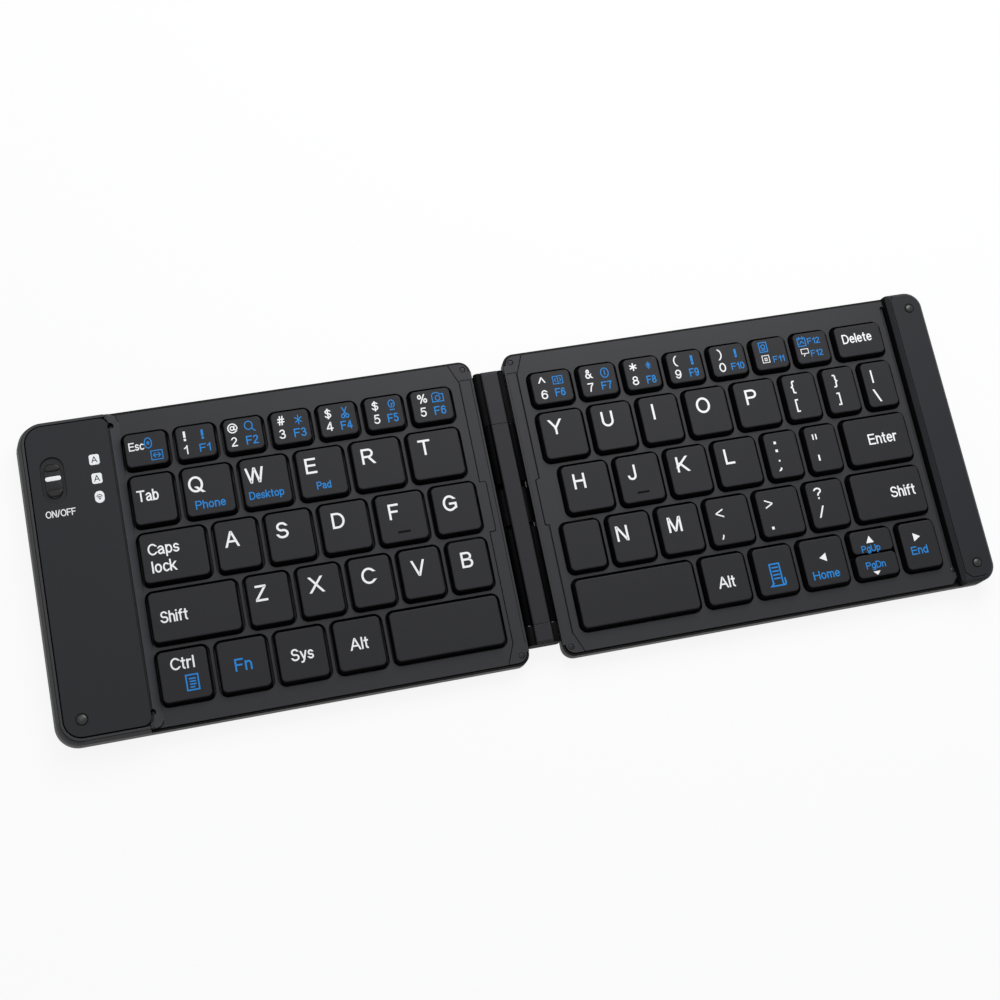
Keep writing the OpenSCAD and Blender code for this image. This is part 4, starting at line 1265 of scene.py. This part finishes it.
# The marks of each cap of a key node, from left to right.
KEY_MARKS: dict[str, tuple[tuple[Mark, ...], ...]] = {
    "left_number_keys": (
        white(("Esc", 1.0, 2.3, 3.9, 2.3))
        + blue((Icon.EYE, 5.1, 1.4, 2.1, 3.1), (Icon.SWAP, 6.4, 5.2, 3.2, 2.7)),
        white(("!", 1.9, 1.3, 0.6, 2.7), ("1", 1.6, 5.2, 1.0, 2.5))
        + blue(("!", 6.6, 1.5, 0.6, 2.6), ("F1", 5.7, 5.3, 2.9, 2.3)),
        white(("@", 0.9, 1.1, 2.7, 2.8), ("2", 1.4, 5.0, 1.6, 2.6))
        + blue((Icon.MAGNIFIER, 5.4, 1.0, 2.8, 3.1), ("F2", 5.4, 5.2, 3.2, 2.4)),
        white(("#", 1.6, 1.1, 1.9, 2.6), ("3", 1.6, 4.9, 1.6, 2.6))
        + blue((Icon.STAR, 6.3, 1.4, 1.8, 2.8), ("F3", 5.5, 5.2, 3.3, 2.4)),
        white(("$", 1.7, 1.0, 1.7, 3.0), ("4", 1.6, 4.8, 1.8, 2.6))
        + blue((Icon.SCISSORS, 6.0, 1.2, 2.2, 3.2), ("F4", 5.5, 5.1, 3.1, 2.4)),
        white(("$", 1.9, 0.9, 1.7, 2.9), ("5", 1.9, 4.8, 1.6, 2.6))
        + blue((Icon.CLIP, 6.3, 1.1, 1.9, 3.0), ("F5", 5.6, 5.1, 2.9, 2.4)),
        white(("%", 1.8, 1.0, 2.6, 2.6), ("5", 2.0, 4.8, 1.6, 2.6))
        + blue((Icon.CAMERA, 5.7, 1.0, 3.3, 2.8), ("F6", 5.8, 5.0, 3.2, 2.4)),
    ),
    "tab_key": (white(("Tab", 1.2, 3.9, 5.6, 3.1)),),
    "left_upper_letter_keys": (
        white(("Q", 1.2, 2.3, 3.9, 4.6)) + blue(("Phone", 2.3, 9.1, 7.9, 2.3)),
        white(("W", 1.1, 2.4, 4.8, 4.3)) + blue(("Desktop", 1.2, 9.0, 9.2, 2.7)),
        white(("E", 2.0, 2.3, 3.0, 4.3)) + blue(("Pad", 4.2, 9.1, 3.8, 2.1)),
        letter("R", 2.3, 2.1, 3.4),
        letter("T", 2.4, 2.1, 3.3),
    ),
    "caps_lock_key": (white(("Caps", 1.8, 2.8, 8.1, 3.9), ("lock", 2.2, 7.5, 6.3, 3.2)),),
    "left_home_letter_keys": (
        letter("A", 2.2, 2.8, 3.6),
        letter("S", 2.4, 2.6, 3.1, 4.4),
        letter("D", 2.8, 2.5, 3.4),
        letter("F", 3.0, 2.6, 2.8),
        letter("G", 2.5, 2.7, 3.7, 4.4),
    ),
    "left_shift_key": (white(("Shift", 2.4, 5.2, 7.0, 3.1)),),
    "left_lower_letter_keys": (
        letter("Z", 1.9, 2.6, 3.2),
        letter("X", 2.6, 2.8, 3.6),
        letter("C", 2.9, 2.8, 3.5, 4.4),
        letter("V", 2.9, 3.0, 3.5),
        letter("B", 2.9, 3.0, 3.1),
    ),
    "control_key": (white(("Ctrl", 3.0, 1.9, 6.1, 3.2)) + blue((Icon.DOCUMENT, 6.2, 6.7, 3.4, 4.3)),),
    "function_key": (blue(("Fn", 3.9, 4.9, 4.4, 3.3)),),
    "system_key": (white(("Sys", 3.3, 5.0, 5.8, 3.9)),),
    "left_alt_key": (white(("Alt", 3.6, 4.9, 4.8, 3.2)),),
    "left_space_key": ((),),
    "right_number_keys": (
        white(("^", 2.0, 1.3, 1.9, 1.7), ("6", 2.1, 5.1, 1.8, 2.6))
        + blue((Icon.PANES, 6.0, 1.5, 2.9, 2.4), ("F6", 6.1, 5.1, 2.8, 2.3)),
        white(("&", 1.6, 1.1, 2.0, 2.7), ("7", 1.7, 5.1, 1.7, 2.5))
        + blue((Icon.RING_BAR, 6.0, 1.2, 2.4, 3.0), ("F7", 5.6, 5.2, 3.0, 2.3)),
        white(("*", 1.6, 1.2, 2.0, 2.3), ("8", 1.6, 5.1, 1.8, 2.6))
        + blue((Icon.SPARK, 6.2, 1.4, 1.6, 2.2), ("F8", 5.7, 5.5, 2.7, 2.3)),
        white(("(", 1.8, 1.0, 1.0, 3.1), ("9", 1.6, 5.1, 1.7, 2.6))
        + blue(("!", 6.8, 1.5, 0.7, 2.7), ("F9", 5.7, 5.3, 2.7, 2.4)),
        white((")", 2.4, 1.0, 1.0, 3.2), ("0", 1.9, 5.1, 1.9, 2.7))
        + blue(("!", 7.1, 1.6, 0.6, 2.4), ("F10", 5.4, 5.5, 3.8, 2.1)),
        white((Icon.BOX, 2.0, 4.8, 2.2, 2.3))
        + blue((Icon.PAGE, 1.8, 0.8, 2.5, 3.1), ("F11", 5.2, 5.4, 3.3, 1.9)),
        white((Icon.SPEECH, 1.4, 4.6, 2.3, 2.3))
        + blue((Icon.CALENDAR, 1.0, 0.9, 2.5, 3.0), ("F12", 4.0, 1.6, 3.7, 1.9), ("F12", 4.2, 5.3, 3.6, 1.9)),
    ),
    "delete_key": (white(("Delete", 1.8, 2.3, 8.8, 2.8)),),
    "right_upper_letter_keys": (
        letter("Y", 2.3, 2.1, 3.5),
        letter("U", 2.6, 2.1, 3.3, 4.4),
        letter("I", 3.3, 2.1, 0.6, 4.5),
        letter("O", 2.5, 2.4, 4.0, 4.6),
        letter("P", 2.9, 2.3, 3.3, 4.4),
        white(("{", 2.1, 1.7, 1.3, 3.8), ("[", 2.3, 7.2, 1.0, 3.8)),
        white(("}", 2.7, 1.8, 1.3, 3.8), ("]", 2.7, 7.2, 1.0, 3.7)),
        white(("|", 2.4, 2.2, 0.45, 3.8), ("\\", 1.9, 7.9, 1.8, 3.8)),
    ),
    "right_home_letter_keys": (
        letter("H", 2.7, 2.5, 3.3),
        letter("J", 2.6, 2.5, 2.4),
        letter("K", 2.2, 2.4, 3.3, 4.4),
        letter("L", 2.4, 2.4, 2.7, 4.4),
        white((":", 2.6, 2.5, 0.7, 3.1), (";", 2.5, 7.9, 0.8, 3.2)),
        white(('"', 2.0, 2.2, 1.3, 1.6), ("'", 2.3, 8.3, 0.5, 1.7)),
    ),
    "enter_key": (white(("Enter", 6.3, 4.8, 8.5, 3.1)),),
    "right_lower_letter_keys": (
        (),
        letter("N", 1.4, 3.0, 3.3),
        letter("M", 2.2, 3.0, 3.8),
        white(("<", 2.2, 3.1, 2.2, 2.3), (",", 2.5, 10.3, 0.7, 1.3)),
        white((">", 2.1, 2.7, 2.2, 2.4), (".", 2.5, 10.4, 0.7, 0.8)),
        white(("?", 2.1, 1.6, 2.1, 3.3), ("/", 2.1, 6.9, 1.7, 3.3)),
    ),
    "right_shift_key": (white(("Shift", 10.8, 4.9, 7.2, 3.1)),),
    "right_space_key": ((),),
    "right_alt_key": (white(("Alt", 3.5, 5.8, 4.7, 3.2)),),
    "menu_key": (blue((Icon.SCROLL, 3.1, 4.6, 4.6, 6.5)),),
    "left_arrow_key": (white((Arrow.LEFT, 4.8, 4.2, 2.0, 2.4)) + blue(("Home", 1.9, 8.9, 7.6, 2.4)),),
    "up_arrow_key": (white((Arrow.UP, 4.3, 1.6, 2.2, 2.0)) + blue(("PgUp", 2.5, 4.2, 5.4, 2.4)),),
    "down_arrow_key": (white((Arrow.DOWN, 4.2, 4.9, 2.1, 1.1)) + blue(("PgDn", 2.6, 2.1, 5.6, 2.4)),),
    "right_arrow_key": (white((Arrow.RIGHT, 3.55, 3.0, 2.0, 2.4)) + blue(("End", 2.0, 6.8, 4.8, 2.3)),),
}


# Sub-assemblies


@dataclass
class Keys:
    """All keycaps with their prints, and the dome and links under each."""

    printer: Printer
    corner: float = 1.3
    rim: float = 0.3
    skirt: float = 0.75
    hollow: float = 2.0
    bed: float = 2.5
    dome_radius: float = 2.6
    link: float = 0.4
    travel: float = 1.2
    ceiling: float = 1.0
    clearance: float = 0.04
    link_run: float = 7.0
    link_reach: float = 3.6
    top: float = field(init=False)

    def build(self) -> None:
        """Builds the pieces of every key node."""
        self.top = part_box("tab_key")[1].z
        for node, marks in KEY_MARKS.items():
            self._build_group(node, marks)
        slides = {joint["child"]: joint for joint in frame["joints"] if joint["type"] == "slide"}
        for half in ("left", "right"):
            nodes = [n for n in KEY_MARKS if slides[n + "_body"]["parent"] == half + "_half"]
            for node in nodes:
                self._build_springs(node, half, replaced=node is nodes[0])

    def _build_group(self, node: str, marks: tuple[tuple[Mark, ...], ...]) -> None:
        """Builds the caps and the prints of one key node.

        Args:
            node: Name of the CAD node.
            marks: Marks of each cap, from left to right.
        """
        body = node + "_body"
        shape = bmesh.new()
        printed = []
        for points, group in zip(solids_of(node), marks, strict=True):
            low, high = self._face(points)
            self._add_cap(shape, points, low, high)
            bar = [p for p in points if p.z > self.top + 0.05 * MM]
            if bar:
                self._add_homing_bar(shape, bar)
            corner = Vector((low.x, high.y, self.top))
            printed += [(corner, mark) for mark in group]
        bmesh.ops.recalc_face_normals(shape, faces=shape.faces[:])
        caps = make_piece(node + "_caps", shape, KEY_PLASTIC, body, (node,), weighted=True)
        # Painted shade on the cap sides.
        paint(caps, PAINTED_SHADE_SKIRT, lambda face: face.normal.z < 0.5)
        self.printer.print_marks(node, body, printed)

    def _face(self, points: list[Vector]) -> tuple[Vector, Vector]:
        """Gives the corners of a cap's flat top face.

        Args:
            points: Corner points of the cap's solid.

        Returns:
            The lowest and the highest corner.
        """
        low, high = corners([p for p in points if abs(p.z - self.top) < WELD])
        low.z = high.z = self.top
        return low, high

    def _add_cap(self, shape: Mesh, points: list[Vector], low: Vector, high: Vector) -> None:
        """Adds one keycap: tapered sides, rounded corners, a soft rim and a hollow underside.

        Args:
            shape: The mesh to add to.
            points: Corner points of the cap's solid.
            low: Lowest corner of the top face.
            high: Highest corner of the top face.
        """
        foot_low, foot_high = corners(points)
        foot_high.z = foot_low.z
        part = bmesh.new()
        for vert in bmesh.ops.create_cube(part, size=2.0)["verts"]:
            first, last = (low, high) if vert.co.z > 0 else (foot_low, foot_high)
            vert.co = [b if side > 0 else a for side, a, b in zip(vert.co, first, last)]
        bevel(part, upright(part.edges), self.corner, 7)
        bevel(part, [e for f in faces_at(part.faces, self.top) for e in f.edges], self.rim, 4)
        bottoms = faces_at(part.faces, foot_low.z)
        bmesh.ops.inset_region(part, faces=bottoms, thickness=self.skirt * MM)
        raised = bmesh.ops.extrude_face_region(part, geom=bottoms)["geom"]
        bmesh.ops.delete(part, geom=bottoms, context="FACES")
        bmesh.ops.translate(part, verts=moved(raised), vec=(0, 0, self.hollow * MM))
        bmesh.ops.recalc_face_normals(part, faces=part.faces[:])
        join(shape, part)

    def _add_homing_bar(self, shape: Mesh, bar: list[Vector]) -> None:
        """Adds the raised bar that fingers find.

        Args:
            shape: The mesh to add to.
            bar: Points of the bar's top.
        """
        low, high = corners(bar)
        low.z = self.top - 0.05 * MM
        part = bmesh.new()
        add_block(part, low, high)
        soften(part, 0.16, 3)
        join(shape, part)

    def _build_springs(self, node: str, half: str, replaced: bool) -> None:
        """Builds the domes and the crossed links under one key node.

        Args:
            node: Name of the key's CAD node.
            half: Which half carries it.
            replaced: Whether these pieces stand for the half's CAD nodes.
        """
        under = self.top / MM - self.ceiling - self.clearance
        domes, links = bmesh.new(), bmesh.new()
        for points in solids_of(node):
            low, high = self._face(points)
            centre = Vector(((low.x + high.x) / 2, (low.y + high.y) / 2, 0))
            width, depth = (high.x - low.x) / MM, (high.y - low.y) / MM
            self._add_dome(domes, centre, min(self.dome_radius, depth / 2 - 1.6), under)
            run, reach = min(self.link_run, width - 2.4), min(self.link_reach, depth / 2 - 0.75)
            self._add_links(links, centre, run, reach, under)
        sets = (("rubber", "domes", domes, SILICONE), ("scissor", "links", links, LINK_PLASTIC))
        for first, kind, shape, finish in sets:
            nodes = (f"{half}_{first}_{kind}",) if replaced else ()
            piece = make_piece(f"{node}_{kind}", shape, finish, half + "_half", nodes)
            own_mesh(piece)

    def _add_dome(self, shape: Mesh, centre: Vector, base: float, top: float) -> None:
        """Adds one hollow rubber dome.

        Args:
            shape: The mesh to add to.
            centre: Its centre in plan, in metres.
            base: Radius at its foot.
            top: Level of its top.
        """
        part = bmesh.new()
        low = self.bed
        outer = [
            (base * 0.5, top),
            (base * 0.6, top - 0.08),
            (base * 0.62, top - 0.5),
            (base * 0.86, low + 0.55),
            (base, low + 0.3),
            (base, low),
        ]
        inner = [
            (base * 0.8, low),
            (base * 0.76, low + 0.5),
            (base * 0.52, top - 0.9),
            (base * 0.4, top - 0.45),
        ]
        add_turned(part, centre, [(0, top - 0.02), *outer, *inner, (0, top - 0.45)], 20)
        join(shape, part)

    def _add_links(self, shape: Mesh, centre: Vector, run: float, reach: float, top: float) -> None:
        """Adds one pair of crossed links, each with two arms and a bar across one end.

        Args:
            shape: The mesh to add to.
            centre: Its centre in plan, in metres.
            run: Length in plan.
            reach: Half of its depth.
            top: Level of the cap's underside.
        """
        part = bmesh.new()
        middle = Matrix.Translation(centre + Vector((0, 0, (self.bed + top) / 2 * MM)))
        half = self.link / 2
        rise = (top - self.bed) / 2 - half - self.clearance
        slope = math.atan2(rise, run / 2)
        end = math.hypot(rise, run / 2) - half / 2
        for sign, out in ((1, reach), (-1, reach - self.link)):
            turn = middle @ Matrix.Rotation(sign * slope, 4, "Y")
            bars = (
                ((-end, -out, -half), (end, self.link - out, half)),
                ((-end, out - self.link, -half), (end, out, half)),
                ((-end, -out, -half), (self.link - end, out, half)),
            )
            for low, high in bars:
                verts = add_block(part, Vector(low) * MM, Vector(high) * MM)
                bmesh.ops.transform(part, matrix=turn, verts=verts)
        join(shape, part)


@dataclass
class HalfShell:
    """The moulded parts of one half: case, covers, deck, hinge strip, feet and screws."""

    side: str
    edge: float = 0.15
    case_edge: float = 0.2
    rim_level: float = 7.2
    bumper_crown: float = 0.42
    shank: float = 0.45

    @property
    def body(self) -> str:
        """Name of the CAD body of this half."""
        return self.side + "_half"

    def build(self) -> None:
        """Builds the shells and dresses the inner parts."""
        # The case gets painted shade as its colour.
        case = softened_piece(self.side + "_bottom_case", PAINTED_SHADE_CASE, self.body, self.case_edge, 3)
        # Painted highlight on the upward faces of the rim.
        paint(case, PAINTED_LIGHT_RIM, lambda face: face.normal.z > 0.85 and face.center.z > self.rim_level * MM)
        deck = softened_piece(self.side + "_key_deck", DECK_PLASTIC, self.body, self.edge)
        cover = softened_piece(self.side + "_pod_cover", COVER_PLASTIC, self.body, 0.07)
        strip = softened_piece(self.side + "_hinge_cover", DECK_PLASTIC, self.body, 0.08)
        # Painted shade on the steep walls of deck, cover and hinge strip.
        for piece in (deck, cover, strip):
            paint(piece, PAINTED_SHADE_WALL, lambda face: face.normal.z < 0.4)
        # Painted light on the sloped faces beside the pods.
        paint(deck, PAINTED_LIGHT_SLOPE, lambda face: 0.4 <= face.normal.z < 0.9 and abs(face.normal.x) > 0.4)
        softened_piece(self.side + "_hinge_leaf", BLACK_METAL, self.body, 0.08)
        dress(self.side + "_base_plate", PUNCHED_STEEL)
        # The membrane's near-black ground is painted shade.
        dress(self.side + "_membrane", SHADED_CONTACT_FILM)
        self._build_feet()
        self._build_bumpers()
        self._build_screws()

    def _build_feet(self) -> None:
        """Builds the round rubber feet with a soft rim and a shallow dish."""
        shape = bmesh.new()
        node = self.side + "_feet"
        for points in solids_of(node):
            centre, radius, low, high = self._round_solid(points)
            profile = [
                (0, low + 0.08),
                (radius * 0.72, low + 0.08),
                (radius * 0.8, low),
                (radius - 0.2, low),
                (radius - 0.06, low + 0.06),
                (radius, low + 0.2),
                (radius, high),
                (0, high),
            ]
            add_turned(shape, centre, profile, 48)
        make_piece(node + "_moulded", shape, FOOT_RUBBER, self.body, (node,))

    def _build_bumpers(self) -> None:
        """Builds the small domed bumpers on the end block."""
        node = "left_bumper" if self.side == "left" else "right_bumpers"
        shape = bmesh.new()
        for points in solids_of(node):
            centre, radius, low, high = self._round_solid(points)
            crown = arc((0, high - self.bumper_crown), (radius, self.bumper_crown), 0, 75)
            add_turned(shape, centre, [(0, low), (radius, low), *crown, (0, high)], 32)
        make_piece(node + "_moulded", shape, BUMPER_RUBBER, self.body, (node,))

    def _build_screws(self) -> None:
        """Builds the screws: a soft head with a cross recess, and the shank."""
        node = self.side + "_screws"
        shape = bmesh.new()
        for points in solids_of(node):
            centre, radius, low, high = self._round_solid(points)
            self._add_head(shape, centre, radius, high)
            neck = high - 0.45
            profile = [(0, low), (0.3, low), (self.shank, low + 0.3), (self.shank, neck), (0, neck)]
            add_turned(shape, centre, profile, 20)
        make_piece(node + "_turned", shape, SCREW_ZINC, self.body, (node,))

    @staticmethod
    def _add_head(shape: Mesh, centre: Vector, radius: float, top: float) -> None:
        """Adds a round screw head with a cross recess.

        Args:
            shape: The mesh to add to.
            centre: Its centre in plan, in metres.
            radius: Radius of the head in millimetres.
            top: Level of its top in millimetres.
        """
        part = bmesh.new()
        bmesh.ops.create_grid(part, x_segments=9, y_segments=9, size=1.0)
        for vert in part.verts:
            x, y = vert.co.x, vert.co.y
            round_x, round_y = x * math.sqrt(1 - y * y / 2), y * math.sqrt(1 - x * x / 2)
            drop = 0.12 * (round_x**2 + round_y**2) ** 2
            vert.co = Vector((round_x * radius, round_y * radius, top - drop)) * MM + centre
        width, arm = 0.16 * radius * MM, 0.62 * radius * MM
        cross = []
        for face in part.faces:
            near, far = sorted(abs(v) for v in (face.calc_center_median() - centre).xy)
            if near < width and far < arm:
                cross.append(face)
        rim = [e for e in part.edges if e.is_boundary]
        sunk = bmesh.ops.extrude_face_region(part, geom=cross)["geom"]
        bmesh.ops.delete(part, geom=cross, context="FACES")
        bmesh.ops.translate(part, verts=moved(sunk), vec=(0, 0, -0.22 * MM))
        for vert in moved(bmesh.ops.extrude_edge_only(part, edges=rim)["geom"]):
            vert.co.z = (top - 0.5) * MM
        bmesh.ops.holes_fill(part, edges=[e for e in part.edges if e.is_boundary], sides=0)
        bmesh.ops.recalc_face_normals(part, faces=part.faces[:])
        join(shape, part)

    @staticmethod
    def _round_solid(points: list[Vector]) -> tuple[Vector, float, float, float]:
        """Measures an upright round solid.

        Args:
            points: Its corner points.

        Returns:
            Its centre in plan in metres, then its radius, lowest and highest level in millimetres.
        """
        low, high = corners(points)
        centre = Vector(((low.x + high.x) / 2, (low.y + high.y) / 2, 0))
        return centre, (high.x - low.x) / 2 / MM, low.z / MM, high.z / MM


@dataclass
class Controls:
    """What shows on the left end block: the switch, its lettering and the light windows."""

    printer: Printer
    bar_size: Point2 = (4.1, 1.2)
    bar_offset: float = 0.5
    saddle_size: Point2 = (4.3, 4.7)
    pad_size: Point2 = (4.3, 2.35)
    pad_height: float = 0.34
    pad_corner: float = 1.05
    pad_margin: float = 0.05
    saddle_depth: float = 0.35
    lettering_place: Point2 = (-122.5, 18.2)

    def build(self) -> None:
        """Builds the knob, the windows and the prints, and dresses the inner parts."""
        knob = softened_piece("power_switch_knob", KNOB_PLASTIC, "power_switch", 0.28, 5)
        self._build_pads(knob)
        self._build_knob_bar()
        softened_piece("indicator_lenses", LENS_PLASTIC, "left_half", 0.06)
        self._print_cover()
        softened_piece("switch_housing", SWITCH_STEEL, "left_half", 0.08)
        softened_piece("charging_socket", SOCKET_STEEL, "left_half", 0.05)
        softened_piece("battery_cell", CELL_FOIL, "left_half", 0.5, 4)
        dress("main_circuit_board", SOLDER_MASK)

    def _build_pads(self, knob: bpy.types.Object) -> None:
        """Builds a rounded pad on each hump of the knob, whose own top is lowered for it.

        Args:
            knob: The knob.
        """
        low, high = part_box("power_switch_knob")
        level = high.z / MM - self.pad_height
        for vert in knob.data.vertices:
            vert.co.z = min(vert.co.z, level * MM)
        pads = bmesh.new()
        middle = (low + high) / 2
        for y in (low.y / MM + self.pad_size[1] / 2, high.y / MM - self.pad_size[1] / 2):
            centre = (middle.x / MM, y)
            levels = (level - 0.3, high.z / MM)
            add_rounded_plate(pads, centre, self.pad_size, levels, self.pad_corner, self.pad_height, 8)
        radius = (high.x - low.x) / 2
        for vert in pads.verts:
            end = Vector((middle.x, high.y - radius if vert.co.y > middle.y else low.y + radius))
            out = vert.co.xy - end
            rise = max(vert.co.z / MM - level, 0)
            inset = self.pad_height - math.sqrt(max(self.pad_height**2 - rise**2, 0))
            reach = radius - (self.pad_margin + inset) * MM
            if out.length > reach and abs(vert.co.y - middle.y) > abs(end.y - middle.y):
                vert.co.xy = end + out.normalized() * reach
        make_piece("switch_pads", pads, KNOB_PLASTIC, "power_switch")

    def _build_knob_bar(self) -> None:
        """Builds the saddle between the two humps of the knob, and the white bar on it."""
        low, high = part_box("power_switch_knob")
        middle = ((low.x + high.x) / 2 / MM, (low.y + high.y) / 2 / MM)
        saddle = high.z / MM - self.saddle_depth
        plate = bmesh.new()
        add_rounded_plate(plate, middle, self.saddle_size, (saddle - 0.05, saddle + 0.03), 0.2, 0.02)
        make_piece("switch_saddle", plate, COVER_PLASTIC, "power_switch")
        bar = bmesh.new()
        centre = (middle[0], middle[1] + self.bar_offset)
        add_rounded_plate(bar, centre, self.bar_size, (saddle, saddle + 0.08), 0.58, 0.03)
        make_piece("switch_bar", bar, WHITE_INK, "power_switch")

    def _print_cover(self) -> None:
        """Prints the switch's lettering on the cover and the signs on the windows."""
        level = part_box("left_pod_cover")[1].z
        switch = Vector((self.lettering_place[0] * MM, self.lettering_place[1] * MM, level))
        marks = [(switch, Mark("ON/OFF", 0.0, 0.0, 7.7, 1.9))]
        windows = sorted(solids_of("indicator_lenses"), key=lambda points: -max(p.y for p in points))
        for shows, points in zip(("A", "A", Icon.RADIO), windows):
            top = max(p.z for p in points)
            low, high = corners([p for p in points if abs(p.z - top) < WELD])
            corner = Vector((low.x, high.y, top))
            width, depth = (high.x - low.x) / MM, (high.y - low.y) / MM
            size = (1.5, 1.7) if shows == "A" else (1.5, 1.5)
            marks.append((corner, Mark(shows, (width - size[0]) / 2, (depth - size[1]) / 2, *size, Ink.DARK)))
        self.printer.print_marks("left_pod", "left_half", marks)


@dataclass
class Spine:
    """The bar between the two fold axes, its end blocks, the axles and the cable."""

    axis: float = 3.05
    top: float = 6.3
    bend: float = 1.6
    cuts: int = 14
    cut_step: float = 0.25

    def build(self) -> None:
        """Builds the spine's parts."""
        bar = softened_piece("spine_bar", SPINE_PLASTIC, "spine", 0.15, 3)
        blocks = softened_piece("spine_end_blocks", BLOCK_PLASTIC, "spine", 0.15, 3)
        # Painted shade on the low and steep faces of bar and end blocks.
        for piece in (bar, blocks):
            paint(piece, PAINTED_SHADE_SPINE, lambda face: face.center.z < self.top * MM or face.normal.z < 0.3)
        dress("hinge_axles", AXLE_STEEL)
        self._build_cable("left_cable", -1, ("ribbon_cable",))
        self._build_cable("right_cable", 1, ())

    def _build_cable(self, name: str, side: int, replaces: tuple[str, ...]) -> None:
        """Builds one half of the flat cable, which bends at a fold axis.

        Args:
            name: Name of the piece.
            side: -1 for the left half, 1 for the right one.
            replaces: CAD nodes it stands for.
        """
        shape = solid_copy("ribbon_cable")
        for i in range(-self.cuts, self.cuts + 1):
            x = side * self.axis * MM + i * self.cut_step * MM
            geometry = shape.verts[:] + shape.edges[:] + shape.faces[:]
            bmesh.ops.bisect_plane(shape, geom=geometry, plane_co=(x, 0, 0), plane_no=(1, 0, 0))
        geometry = shape.verts[:] + shape.edges[:] + shape.faces[:]
        cut = bmesh.ops.bisect_plane(
            shape, geom=geometry, plane_co=(0, 0, 0), plane_no=(side, 0, 0), clear_inner=True
        )["geom_cut"]
        bmesh.ops.holes_fill(shape, edges=[e for e in cut if isinstance(e, Edge)], sides=0)
        bmesh.ops.recalc_face_normals(shape, faces=shape.faces[:])
        # The cable's near-black colour is painted shade.
        piece = make_piece(name, shape, SHADED_CABLE_FILM, None, replaces)
        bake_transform(piece)


@dataclass
class Studio:
    """Floor, world, lamps and camera."""

    lens: float = 60.75
    camera_place: tuple[float, float, float] = (-0.08378, -0.10777, 0.44187)
    camera_turn: tuple[float, float, float] = (15.717, -7.3255, -11.576)

    def build(self) -> None:
        """Sets the stage and the view."""
        scene = bpy.context.scene
        scene.view_settings.view_transform = "Standard"
        self._floor()
        self._world()
        self._lamp("back_softbox", (0.14, 0.30, 0.36), 0.36, 2.0, (0.02, 0.0, 0.0))
        self._lamp("top_softbox", (-0.2, 0.3, 0.9), 0.6, 1.4, (0.0, 0.0, 0.0))
        self._camera()

    def _floor(self) -> None:
        """Lays a white floor that keeps only a light shadow."""
        shape = bmesh.new()
        bmesh.ops.create_grid(shape, x_segments=1, y_segments=1, size=4.0)
        mesh = bpy.data.meshes.new("floor")
        shape.to_mesh(mesh)
        shape.free()
        floor = bpy.data.objects.new("floor", mesh)
        bpy.context.scene.collection.objects.link(floor)
        material = bpy.data.materials.new("white_floor")
        material.use_nodes = True
        graph = Graph(material.node_tree)
        matt = {"Base_Color": (0.8, 0.8, 0.8, 1.0), "Roughness": 0.9, "Specular_IOR_Level": 0.0}
        shader = graph.set(graph.nodes["Principled BSDF"], **matt)
        white = graph.add("Emission", Strength=1.0)
        blend = graph.add("MixShader", self._seen(graph, 0.88), shader, white)
        graph.set(graph.nodes["Material Output"], Surface=blend)
        mesh.materials.append(material)

    @staticmethod
    def _seen(graph: Graph, share: float) -> Node:
        """Gives a mask that is a share for camera, glossy and transmission rays, and 0 for others.

        Args:
            graph: Nodes of the material or world.
            share: Value for the rays that see it.

        Returns:
            The node that gives the mask.
        """
        path = graph.add("LightPath").outputs
        first = graph.add("Math", path["Is Camera Ray"], path["Is Glossy Ray"], operation="MAXIMUM")
        second = graph.add("Math", first, path["Is Transmission Ray"], operation="MAXIMUM")
        return graph.add("Math", second, share, operation="MULTIPLY")

    def _world(self) -> None:
        """Makes a white surround that lights the object only a little."""
        world = bpy.data.worlds.new("surround")
        bpy.context.scene.world = world
        world.use_nodes = True
        graph = Graph(world.node_tree)
        soft = graph.set(graph.nodes["Background"], Color=(0.95, 0.97, 1.0, 1.0), Strength=0.4)
        white = graph.add("Background", Color=(1.0, 1.0, 1.0, 1.0))
        blend = graph.add("MixShader", self._seen(graph, 1.0), soft, white)
        graph.set(graph.nodes["World Output"], Surface=blend)

    @staticmethod
    def _lamp(name: str, place: tuple, size: float, power: float, target: tuple) -> None:
        """Hangs a soft lamp.

        Args:
            name: Its name.
            place: Where it hangs, in metres.
            size: Edge length in metres.
            power: Power in watts.
            target: The point it looks at.
        """
        light = bpy.data.lights.new(name, "AREA")
        light.size = size
        light.energy = power
        lamp = bpy.data.objects.new(name, light)
        lamp.location = place
        lamp.rotation_euler = (Vector(target) - Vector(place)).to_track_quat("-Z", "Y").to_euler()
        bpy.context.scene.collection.objects.link(lamp)

    def _camera(self) -> None:
        """Places the camera at the photograph's viewing angle."""
        data = bpy.data.cameras.new("camera")
        data.lens = self.lens
        data.sensor_width = 36.0
        data.clip_start = 0.005
        camera = bpy.data.objects.new("camera", data)
        camera.location = self.camera_place
        camera.rotation_euler = tuple(math.radians(a) for a in self.camera_turn)
        bpy.context.scene.collection.objects.link(camera)
        bpy.context.scene.camera = camera


def main() -> None:
    """Builds the keyboard and its stage."""
    logging.basicConfig(level=logging.INFO, format="%(message)s")
    printer = Printer()
    Studio().build()
    for side in ("left", "right"):
        HalfShell(side).build()
    Controls(printer).build()
    Spine().build()
    Keys(printer).build()


if __name__ == "__main__":
    main()
